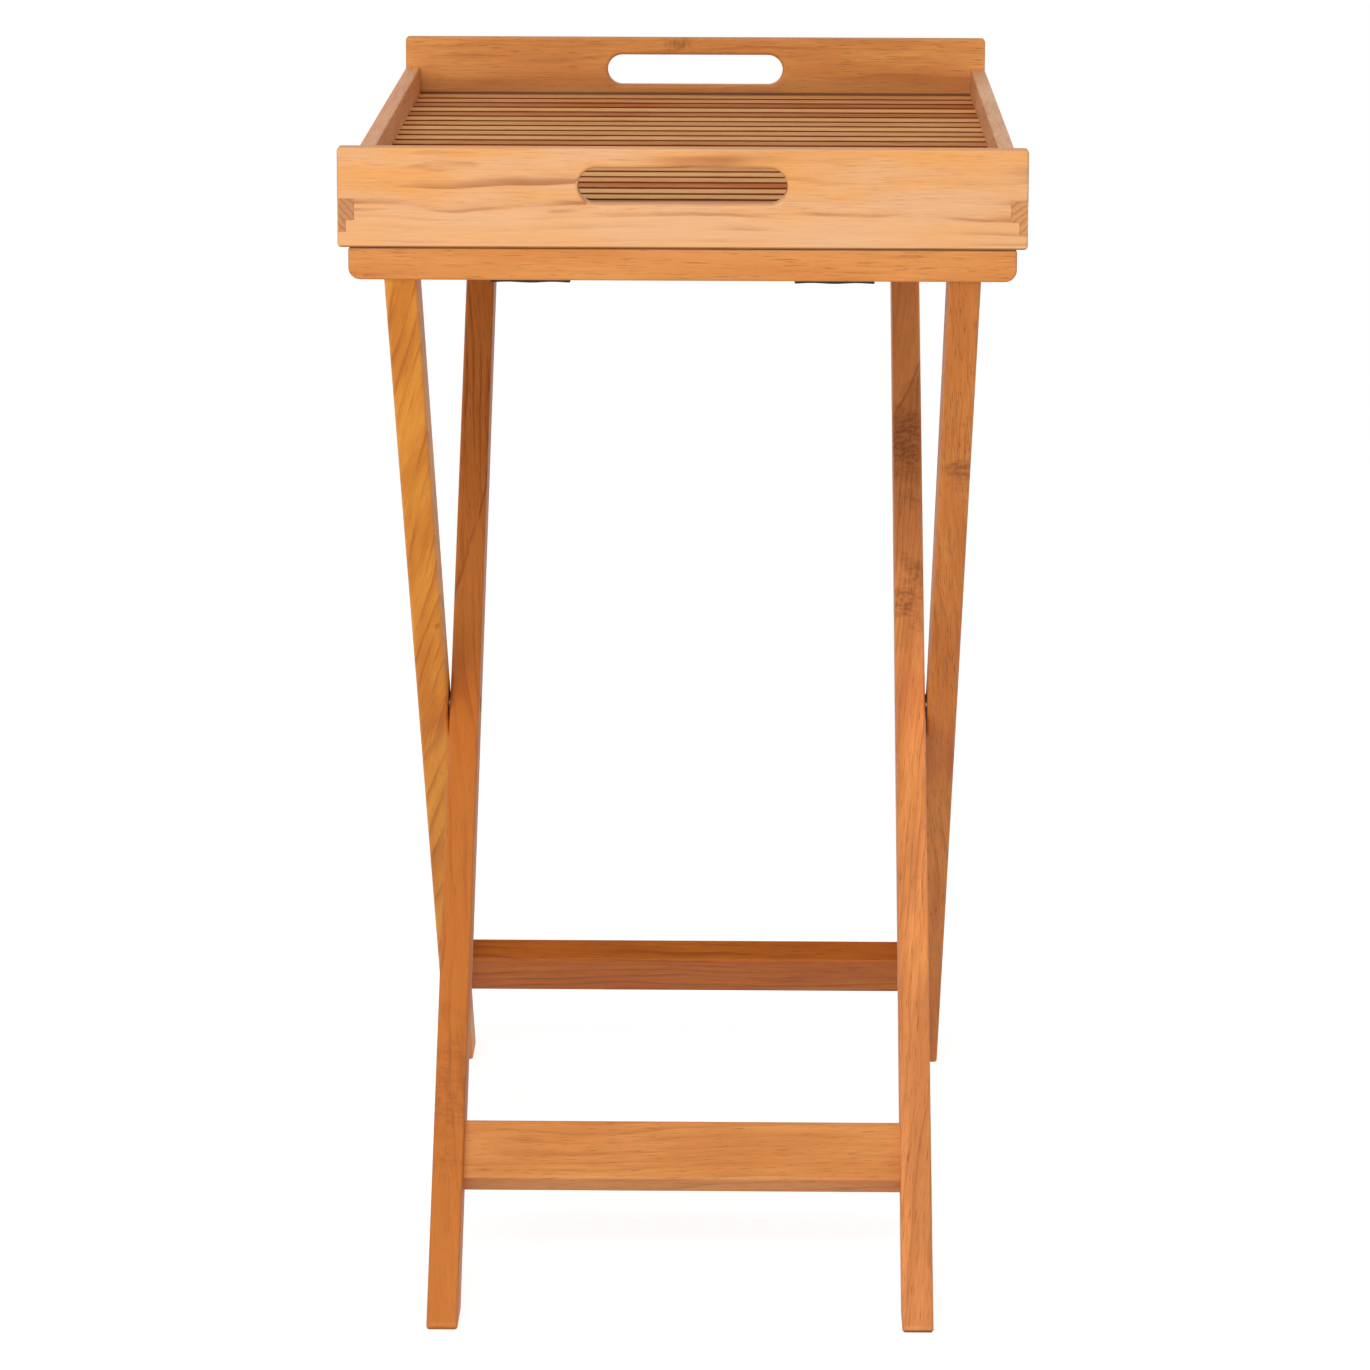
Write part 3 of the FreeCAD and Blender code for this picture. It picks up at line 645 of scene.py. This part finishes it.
        colour = self.with_seam_shade(bench, finish, square, colour)
        feeds = {"Facing": square["Facing"], "Place": square["Place"]}
        # Rounded edges turn paler: rubbed by wear, and a painted highlight
        worn = bench.times(self.wear_and_highlight.place(bench, feeds)["Wear And Highlight"], finish.wear_and_highlight)
        colour = bench.mix(worn, colour, tint(finish.pale))
        feeds = {"Height": tone["Height"], "Strength": finish.bump, "Distance": finish.relief * MM}
        bump = bench.node("ShaderNodeBump", feeds)
        bench.surface({
            "Base Color": colour,
            "Roughness": tone["Roughness"],
            "Normal": bump.outputs[0],
            "Specular IOR Level": finish.sheen,
        })

    def with_sapwood(self, bench: Bench, finish: TeakFinish, axes: Outputs, colour: Socket) -> Socket:
        """Lays a board's paler strip over its colour, where it has one.

        Args:
            bench: The material's bench.
            finish: The board's wood.
            axes: The place and the facing in the board's own directions.
            colour: The colour so far.

        Returns:
            The colour with the strip.
        """
        strip = finish.sapwood
        if strip is None:
            return colour
        masks = self.rim.place(bench, {
            "Place": axes["Place"],
            "Limit": strip.limit,
            "Slant": strip.slant,
            "Side": float(strip.side),
        })
        colour = bench.mix(bench.times(masks["Sapwood"], strip.strength), colour, tint(finish.pale))
        return bench.mix(bench.times(masks["Edge"], strip.edge), colour, tint(finish.dark))

    def with_knots(self, bench: Bench, finish: TeakFinish, axes: Outputs, colour: Socket) -> Socket:
        """Lays a board's knots over its colour.

        Args:
            bench: The material's bench.
            finish: The board's wood.
            axes: The place and the facing in the board's own directions.
            colour: The colour so far.

        Returns:
            The colour with the knots.
        """
        for knot in finish.knots:
            feeds: Feeds = {"Place": axes["Place"], "Centre": knot.place, "Size": knot.size}
            mask = bench.times(self.branch.place(bench, feeds)["Knot"], knot.strength)
            colour = bench.mix(mask, colour, bench.mix(knot.black, tint(finish.dark), BLACK))
        return colour

    @staticmethod
    def with_seam_shade(bench: Bench, finish: TeakFinish, axes: Outputs, colour: Socket) -> Socket:
        """Paints shade at a seam over a board's colour, where it has one.

        Args:
            bench: The material's bench.
            finish: The board's wood.
            axes: The place and the facing in the board's own directions.
            colour: The colour so far.

        Returns:
            The colour with the painted seam shade.
        """
        seam = finish.seam
        if seam is None:
            return colour
        place = bench.parts(axes["Place"])
        gap = bench.math("ABSOLUTE", bench.math("SUBTRACT", place["Y"], seam.level))
        shown = bench.step(bench.parts(axes["Facing"])["Z"], 0.15, 0.6)
        if seam.face is not None:
            depth = bench.math("ABSOLUTE", bench.math("SUBTRACT", place["Z"], seam.face))
            shown = bench.times(shown, bench.step(depth, *seam.face_fade, 1.0, 0.0))
        # Painted soft shade beside the seam
        shade = bench.times(bench.step(gap, *seam.soft_shade_fade, seam.soft_shade, 0.0), shown)
        colour = bench.mix(shade, colour, tint(finish.dark))
        # Painted shadow line along the seam
        line = bench.times(bench.step(gap, *seam.line_fade, seam.line, 0.0), shown)
        return bench.mix(line, colour, bench.mix(seam.black, tint(finish.dark), BLACK))


@dataclass(frozen=True)
class WebbingFinish:
    """Black ribbed webbing. Lengths are millimetres, and the fuzz is given by its repeats in a metre."""

    name: str = "black_webbing"
    yarn: Rgb = (40, 39, 41)
    painted_groove_shade: Rgb = (17, 17, 19)
    fluff: Rgb = (66, 65, 66)
    rib: float = 1.25
    rib_fullness: float = 0.6
    row: float = 1.1
    row_depth: float = 0.6
    fuzz: Triple = (2400.0, 900.0, 2400.0)
    fuzz_share: float = 0.25
    fuzz_height: float = 0.2
    fuzz_roughness: float = 0.15
    roughness: float = 0.78
    sheen: float = 0.25
    bump: float = 0.7
    relief: float = 0.4

    def material(self) -> bpy.types.Material:
        """Makes the webbing's material, with its ribs, rows and loose fibres.

        Returns:
            The material.
        """
        made, bench = Bench.for_material(self.name)
        seen = bench.node("ShaderNodeTexCoord").outputs["Object"]
        place = bench.parts(seen)
        across = bench.math("DIVIDE", place["X"], self.rib * MM)
        along = bench.math("DIVIDE", place["Y"], self.row * MM)
        ribs = bench.math("ABSOLUTE", bench.math("SINE", bench.times(across, math.pi)))
        ribs = bench.math("POWER", ribs, self.rib_fullness)

        # Every other rib's rows lie half a row further on
        odd = bench.math("MODULO", bench.math("FLOOR", across), 2.0)
        rows = bench.math("MULTIPLY_ADD", odd, 0.5, along)
        rows = bench.math("ABSOLUTE", bench.math("SINE", bench.times(rows, math.pi)))
        rows = bench.math("MULTIPLY_ADD", rows, self.row_depth, 1.0 - self.row_depth)
        weave = bench.times(ribs, rows)

        fuzz = bench.noise(bench.vector("MULTIPLY", seen, self.fuzz), 2.0)[0]
        # The grooves between ribs and rows are painted with shade
        colour = bench.mix(weave, tint(self.painted_groove_shade), tint(self.yarn))
        colour = bench.mix(bench.times(fuzz, self.fuzz_share), colour, tint(self.fluff))
        height = bench.math("MULTIPLY_ADD", fuzz, self.fuzz_height, weave)
        feeds: Feeds = {"Height": height, "Strength": self.bump, "Distance": self.relief * MM}
        bump = bench.node("ShaderNodeBump", feeds)
        bench.surface({
            "Base Color": colour,
            "Roughness": bench.math("MULTIPLY_ADD", fuzz, self.fuzz_roughness, self.roughness),
            "Normal": bump.outputs[0],
            "Sheen Weight": self.sheen,
        })
        return made


@dataclass(frozen=True)
class SteelFinish:
    """Dark plated steel with fine turning marks and a little wear.

    Turning marks and worn patches are given by their repeats in a metre, the relief in millimetres.
    """

    name: str = "dark_steel"
    plate: Rgb = (98, 94, 88)
    worn: Rgb = (150, 145, 138)
    turning: Triple = (2600.0, 2600.0, 700.0)
    patches: float = 300.0
    roughness: float = 0.26
    turning_roughness: float = 0.25
    bump: float = 0.15
    relief: float = 0.1

    def material(self) -> bpy.types.Material:
        """Makes the fasteners' material.

        Returns:
            The material.
        """
        made, bench = Bench.for_material(self.name)
        seen = bench.node("ShaderNodeTexCoord").outputs["Object"]
        marks = bench.noise(bench.vector("MULTIPLY", seen, self.turning), 3.0)[0]
        patches = bench.noise(bench.scaled(seen, self.patches), 3.0)[0]
        colour = bench.mix(bench.step(patches, 0.5, 0.75), tint(self.plate), tint(self.worn))
        feeds: Feeds = {"Height": marks, "Strength": self.bump, "Distance": self.relief * MM}
        bump = bench.node("ShaderNodeBump", feeds)
        bench.surface({
            "Base Color": colour,
            "Roughness": bench.math("MULTIPLY_ADD", marks, self.turning_roughness, self.roughness),
            "Normal": bump.outputs[0],
            "Metallic": 1.0,
        })
        return made


def dress(node: str, material: bpy.types.Material) -> None:
    """Gives a CAD node its material.

    Args:
        node: The node's name.
        material: What it is made of.
    """
    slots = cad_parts[node].data.materials
    slots.clear()
    slots.append(material)
    LOG.info("%s dressed with %s", node, material.name)


@dataclass
class Tray:
    """The lift-off tray: two handle rails, two side rails and the slats. Lengths are millimetres."""

    shop: TeakShop
    underside: float = 709.5
    deck: float = 730.8
    slats: int = 23
    slat_gap: float = 10.0
    inside_depth: float = 717.0

    def build(self) -> None:
        """Dresses every piece of the tray."""
        self.dress_rails()
        self.dress_slats()

    def dress_rails(self) -> None:
        """Gives each rail a board of its own."""
        front = TeakFinish(
            "front_handle_rail_teak",
            pale=(222, 169, 121), body=(225, 157, 88), dark=(156, 90, 44), end=(178, 118, 74),
            seed=120.0, pith=(766.0, 417.0), ring=5.0, wander=8.0, rings=0.85, fibre=0.22, pores=0.2,
            # The seam paints a shadow line along the rail's bottom, where it sits on the stand
            seam=SeamShade(self.underside), sapwood=Sapwood(732.0, -0.012, -1),
        )
        rear = TeakFinish(
            "rear_handle_rail_teak",
            pale=(231, 157, 80), body=(214, 136, 64), dark=(151, 84, 33), end=(170, 108, 64),
            seed=640.0, pith=(725.0, -300.0), ring=4.6,
            # The seam paints a shadow line and a soft shade on the inner face along the deck
            seam=SeamShade(self.deck, -self.inside_depth / 2, 0.45),
            knots=(Knot((-11.0, 767.0, -358.0), 6.0),),
        )
        left = TeakFinish(
            "left_side_rail_teak",
            pale=(234, 176, 121), body=(232, 154, 97), dark=(182, 107, 58), end=(192, 130, 86),
            seed=300.0, pith=(575.0, -355.0), ring=3.6,
        )
        right = TeakFinish(
            "right_side_rail_teak",
            pale=(237, 179, 128), body=(221, 158, 104), dark=(174, 110, 63), end=(212, 144, 86),
            seed=820.0, pith=(575.0, 355.0), ring=3.8,
        )
        for node, finish, grain in (
            ("tray_front_rail", front, Grain.ACROSS_UPRIGHT),
            ("tray_rear_rail", rear, Grain.ACROSS_UPRIGHT),
            ("tray_left_rail", left, Grain.BACKWARDS),
            ("tray_right_rail", right, Grain.BACKWARDS),
        ):
            dress(node, self.shop.board(finish, grain))

    def dress_slats(self) -> None:
        """Gives the slats one wood whose figure and tone differ from slat to slat."""
        finish = TeakFinish(
            "slat_teak",
            pale=(254, 200, 146), body=(234, 148, 84), dark=(160, 64, 8), end=(160, 104, 66),
            # Painted shade darkens the slats' edges, standing for the shade in the gaps
            seed=0.0, pith=(0.0, 690.0), ring=3.4, painted_side_shade=0.95, wear_and_highlight=0.0, sheen=0.02, roughness=0.65,
        )
        lot = SlatLot(
            start=(self.slat_gap - self.inside_depth) / 2,
            pitch=(self.inside_depth - self.slat_gap) / self.slats,
            darkest=(186, 104, 50),
            palest=(254, 196, 128),
        )
        made = self.shop.slats(finish, lot)
        for number in range(1, self.slats + 1):
            dress(f"tray_slat_{number:02d}", made)


@dataclass
class Stand:
    """The folding stand: two leg frames with their top rails and stretchers. Lengths are millimetres."""

    shop: TeakShop
    top: float = 709.5

    def build(self) -> None:
        """Dresses the legs, the top rails and the stretchers."""
        self.dress_legs()
        self.dress_bars()

    def dress_legs(self) -> None:
        """Gives each leg a board of its own."""
        outer_left = TeakFinish(
            "outer_left_leg_teak",
            pale=(240, 158, 51), body=(217, 130, 30), dark=(166, 83, 11), end=(150, 92, 50),
            seed=90.0, pith=(-150.0, 190.0), ring=7.0, skew=12.0, rings=0.55, fibre=0.24, pores=0.25,
            sapwood=Sapwood(-244.0, 0.085, -1),
            knots=(Knot((366.0, -168.0, 222.0), 2.5),),
        )
        outer_right = TeakFinish(
            "outer_right_leg_teak",
            pale=(221, 136, 57), body=(204, 119, 45), dark=(157, 81, 24), end=(150, 92, 50),
            seed=410.0, pith=(160.0, 180.0), skew=-3.0, pores=0.6,
            knots=(Knot((545.0, 184.0, 222.0), 11.0),),
        )
        inner_left = TeakFinish(
            "inner_left_leg_teak",
            pale=(204, 120, 50), body=(200, 113, 38), dark=(128, 58, 11), end=(140, 84, 46),
            seed=700.0, pith=(-175.0, -220.0), ring=5.5, skew=-4.0, rings=0.6,
            sapwood=Sapwood(-225.7, 0.192, 1),
            # This broad, faint knot is painted shade that darkens the lower leg
            knots=(Knot((-75.0, -154.0, -256.0), 34.0, 0.32),),
        )
        inner_right = TeakFinish(
            "inner_right_leg_teak",
            pale=(250, 160, 90), body=(214, 134, 73), dark=(152, 82, 36), end=(140, 84, 46),
            seed=1000.0, pith=(180.0, -230.0), skew=5.0,
            # This pale strip is painted light on the upper leg, which lies in shade under the tray
            sapwood=Sapwood(-47.0, 0.4, -1),
            knots=(Knot((324.0, 154.0, -256.0), 19.0), Knot((456.0, 154.0, -256.0), 29.0)),
        )
        for node, finish, grain in (
            ("outer_leg_left", outer_left, Grain.OUTER_LEG),
            ("outer_leg_right", outer_right, Grain.OUTER_LEG),
            ("inner_leg_left", inner_left, Grain.INNER_LEG),
            ("inner_leg_right", inner_right, Grain.INNER_LEG),
        ):
            dress(node, self.shop.board(finish, grain))

    def dress_bars(self) -> None:
        """Gives each top rail and stretcher a board of its own."""
        front_top = TeakFinish(
            "front_top_rail_teak",
            pale=(213, 140, 70), body=(203, 126, 56), dark=(162, 90, 34), end=(158, 98, 54),
            seed=1300.0, pith=(740.0, 410.0), ring=4.4,
            # The seam paints a shadow line along the rail's top, under the tray
            seam=SeamShade(self.top),
        )
        rear_top = TeakFinish(
            "rear_top_rail_teak",
            pale=(213, 140, 70), body=(203, 126, 56), dark=(162, 90, 34), end=(158, 98, 54),
            seed=1600.0, pith=(740.0, -300.0),
        )
        front_bar = TeakFinish(
            "front_stretcher_teak",
            pale=(226, 152, 83), body=(213, 135, 67), dark=(162, 94, 42), end=(150, 94, 54),
            # Painted shade darkens its narrow edges a little, the lower one lying in shade
            seed=1900.0, pith=(-40.0, 300.0), ring=6.0, skew=2.0, painted_side_shade=0.06,
        )
        rear_bar = TeakFinish(
            "rear_stretcher_teak",
            pale=(204, 112, 20), body=(186, 97, 13), dark=(129, 57, 4), end=(140, 84, 46),
            # Painted shade darkens its narrow edges, the upper one lying in the tray's shadow
            seed=2200.0, pith=(-150.0, -170.0), ring=5.0, rings=0.6, painted_side_shade=0.2,
        )
        for node, finish, grain in (
            ("front_top_rail", front_top, Grain.ACROSS_UPRIGHT),
            ("rear_top_rail", rear_top, Grain.ACROSS_UPRIGHT),
            ("front_stretcher", front_bar, Grain.FRONT_BAR),
            ("rear_stretcher", rear_bar, Grain.REAR_BAR),
        ):
            dress(node, self.shop.board(finish, grain))


@dataclass
class Fasteners:
    """The pivots and the strap screws."""

    steel: SteelFinish

    def build(self) -> None:
        """Dresses every metal piece."""
        made = self.steel.material()
        for node in (
            "pivot_bolts",
            "pivot_nuts",
            "pivot_washers",
            "strap_screws_front",
            "strap_screws_rear",
        ):
            dress(node, made)


@dataclass
class Straps:
    """Two webbing straps, each in a front and a rear half.

    Lengths are millimetres, and stations, lanes and bends are counts along, across and about an edge.
    """

    webbing: WebbingFinish
    offset: float = 95.0
    width: float = 50.0
    length: float = 732.0
    thickness: float = 1.2
    top: float = 688.95
    rail_edge: float = 315.0
    loop_edge: float = 22.0
    selvedge: float = 1.2
    screw_spread: float = 28.0
    sag: float = 0.55
    sag_edge: float = 240.0
    stations: int = 72
    lanes: int = 13
    bends: int = 6

    def build(self) -> None:
        """Weaves both straps in halves and hides the CAD straps."""
        made = self.webbing.material()
        for side, word in ((-1, "left"), (1, "right")):
            for end, part, body, rail in (
                (-1, "front", "outer_frame", "front_top_rail"),
                (1, "rear", "inner_frame", "rear_top_rail"),
            ):
                piece = self.half(f"strap_{word}_{part}", side, end)
                piece.data.materials.append(made)
                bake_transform(piece)
                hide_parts(f"strap_{word}")
                LOG.info("%s woven", piece.name)

    def section(self) -> list[Pair]:
        """Draws the strap's cross-section, a flat band with rounded selvedges.

        Returns:
            Places across and up, in order round it.
        """
        half = self.width / 2
        bend = self.thickness / 2
        reach = half - self.selvedge
        flats = [reach * (2 * k / (self.lanes - 1) - 1) for k in range(self.lanes)]
        turns = [math.pi * (k / self.bends - 0.5) for k in range(1, self.bends)]
        points = [(x, 0.0) for x in flats]
        points += [(half - bend + bend * math.cos(turn), bend + bend * math.sin(turn)) for turn in turns]
        points += [(x, self.thickness) for x in reversed(flats)]
        points += [(-half + bend - bend * math.cos(turn), bend - bend * math.sin(turn)) for turn in turns]
        return points

    def droop(self, across: float, along: float) -> float:
        """Works out how far a strap hangs between and beside the two screws that hold it up to a rail.

        Args:
            across: From the strap's middle line.
            along: From the table's middle.

        Returns:
            The drop below the flat strap.
        """
        wave = (1 + math.cos(2 * math.pi * across / self.screw_spread)) / 2
        share = (abs(along) - self.sag_edge) / (self.rail_edge - self.sag_edge)
        share = min(max(share, 0.0), 1.0)
        return self.sag * wave * share

    def half(self, name: str, side: int, end: int) -> bpy.types.Object:
        """Makes one half of a strap, from the middle to the frame's end.

        Args:
            name: The piece's name.
            side: -1 on the left, 1 on the right.
            end: -1 for the front half, 1 for the rear half.

        Returns:
            The piece, in the scene.
        """
        mesh = bmesh.new()
        rings = []
        for k in range(self.stations + 1):
            along = end * self.length / 2 * k / self.stations
            ring = []
            for across, up in self.section():
                height = self.top - self.thickness + up - self.droop(across, along)
                place = (side * self.offset + across, along, height)
                ring.append(mesh.verts.new(Vector(place) * MM))
            rings.append(ring)
        for first, second in zip(rings, rings[1:]):
            for k in range(len(first)):
                following = (k + 1) % len(first)
                face = mesh.faces.new((first[k], first[following], second[following], second[k]))
                face.smooth = True

        # Flat ends with sharp edges, so that the two halves meet without a shaded line
        for ring in (rings[0], rings[-1]):
            for edge in mesh.faces.new(ring).edges:
                edge.smooth = False
        bmesh.ops.recalc_face_normals(mesh, faces=mesh.faces)
        data = bpy.data.meshes.new(name)
        mesh.to_mesh(data)
        mesh.free()
        piece = bpy.data.objects.new(name, data)
        bpy.context.scene.collection.objects.link(piece)
        return piece


@dataclass
class Studio:
    """The pale floor, the soft light and the camera.

    Lengths are metres, angles degrees and powers watts, but the lens and its sensor are in millimetres.
    """

    lens: float = 154.676
    sensor: float = 36.0
    view_reach: float = 200.0
    eye: Triple = (0.04589, -4.01521, 1.18215)
    pitch: float = 11.6271
    roll: float = -0.15973
    yaw: float = 0.71642
    ambient: float = 0.5
    key_power: float = 58.0
    key_place: Triple = (-0.2, -3.9, 2.5)
    key_size: float = 0.9
    fill_power: float = 62.0
    fill_place: Triple = (-1.5, -4.2, 2.0)
    fill_size: float = 2.2
    lamp_aim: Triple = (0.0, 0.0, 0.45)
    floor_reach: float = 30.0
    floor_grey: Rgba = (0.86, 0.86, 0.86, 1.0)
    floor_shadow_grey: Rgba = (0.4, 0.4, 0.4, 1.0)
    floor_glow: float = 0.8

    def build(self) -> None:
        """Sets up everything around the table."""
        bpy.context.scene.view_settings.view_transform = "Standard"
        self.lay_floor()
        self.light_world()
        self.hang_lamp("key_lamp", self.key_place, self.key_size, self.key_power)
        self.hang_lamp("fill_lamp", self.fill_place, self.fill_size, self.fill_power)
        self.aim_camera()

    @staticmethod
    def seen_directly(bench: Bench) -> Socket:
        """Makes a mask of rays that come from the camera, or from it by a mirror or through glass.

        Args:
            bench: The bench of the floor or the backdrop.

        Returns:
            The mask, 1 for such rays.
        """
        path = bench.node("ShaderNodeLightPath").outputs
        mirrored = bench.math("MAXIMUM", path["Is Glossy Ray"], path["Is Transmission Ray"])
        return bench.math("MAXIMUM", path["Is Camera Ray"], mirrored)

    def lay_floor(self) -> None:
        """Lays a wide pale floor that looks white and keeps the table's shadow."""
        mesh = bmesh.new()
        bmesh.ops.create_grid(mesh, x_segments=2, y_segments=2, size=self.floor_reach)
        data = bpy.data.meshes.new("studio_floor")
        mesh.to_mesh(data)
        mesh.free()
        floor = bpy.data.objects.new("studio_floor", data)
        bpy.context.scene.collection.objects.link(floor)
        made, bench = Bench.for_material("studio_paper")
        paper = bench.node("ShaderNodeBsdfDiffuse", {"Color": self.floor_grey})
        glow = bench.node("ShaderNodeEmission", {"Color": WHITE, "Strength": self.floor_glow})
        dim = bench.node("ShaderNodeBsdfDiffuse", {"Color": self.floor_shadow_grey})
        lit = bench.node("ShaderNodeAddShader")
        bench.feed(lit.inputs[0], glow.outputs[0])
        bench.feed(lit.inputs[1], dim.outputs[0])
        both = bench.node("ShaderNodeMixShader", {"Fac": self.seen_directly(bench)})
        bench.feed(both.inputs[1], paper.outputs[0])
        bench.feed(both.inputs[2], lit.outputs[0])
        bench.feed(bench.node("ShaderNodeOutputMaterial").inputs["Surface"], both.outputs[0])
        data.materials.append(made)

    def light_world(self) -> None:
        """Lights the studio evenly, with a white backdrop where the camera sees it."""
        world = bpy.data.worlds.new("studio")
        world.use_nodes = True
        world.node_tree.nodes.clear()
        bench = Bench(world.node_tree)
        seen = self.seen_directly(bench)
        strength = bench.math("MULTIPLY_ADD", seen, 1.0 - self.ambient, self.ambient)
        sky = bench.node("ShaderNodeBackground", {"Color": WHITE, "Strength": strength})
        bench.feed(bench.node("ShaderNodeOutputWorld").inputs["Surface"], sky.outputs[0])
        bpy.context.scene.world = world

    def hang_lamp(self, name: str, place: Triple, size: float, power: float) -> None:
        """Hangs a large soft lamp that looks at the table.

        Args:
            name: The lamp's name.
            place: Where it hangs.
            size: The side of its square.
            power: Its power.
        """
        lamp = bpy.data.lights.new(name, "AREA")
        lamp.size = size
        lamp.energy = power
        hung = bpy.data.objects.new(name, lamp)
        hung.location = place
        aim = Vector(self.lamp_aim) - Vector(place)
        hung.rotation_euler = aim.to_track_quat("-Z", "Y").to_euler()
        bpy.context.scene.collection.objects.link(hung)

    def aim_camera(self) -> None:
        """Puts the camera where the photograph was taken from."""
        camera = bpy.data.cameras.new("camera")
        camera.lens = self.lens
        camera.sensor_width = self.sensor
        camera.clip_end = self.view_reach
        stand = bpy.data.objects.new("camera", camera)
        stand.location = self.eye
        angles = (90.0 - self.pitch, self.roll, self.yaw)
        stand.rotation_euler = [math.radians(angle) for angle in angles]
        bpy.context.scene.collection.objects.link(stand)
        bpy.context.scene.camera = stand


def main() -> None:
    """Builds the table's looks in order and reports each piece."""
    logging.basicConfig(level=logging.INFO, format="%(name)s: %(message)s")
    shop = TeakShop()
    Tray(shop).build()
    Stand(shop).build()
    Fasteners(SteelFinish()).build()
    Straps(WebbingFinish()).build()
    Studio().build()


if __name__ == "__main__":
    main()
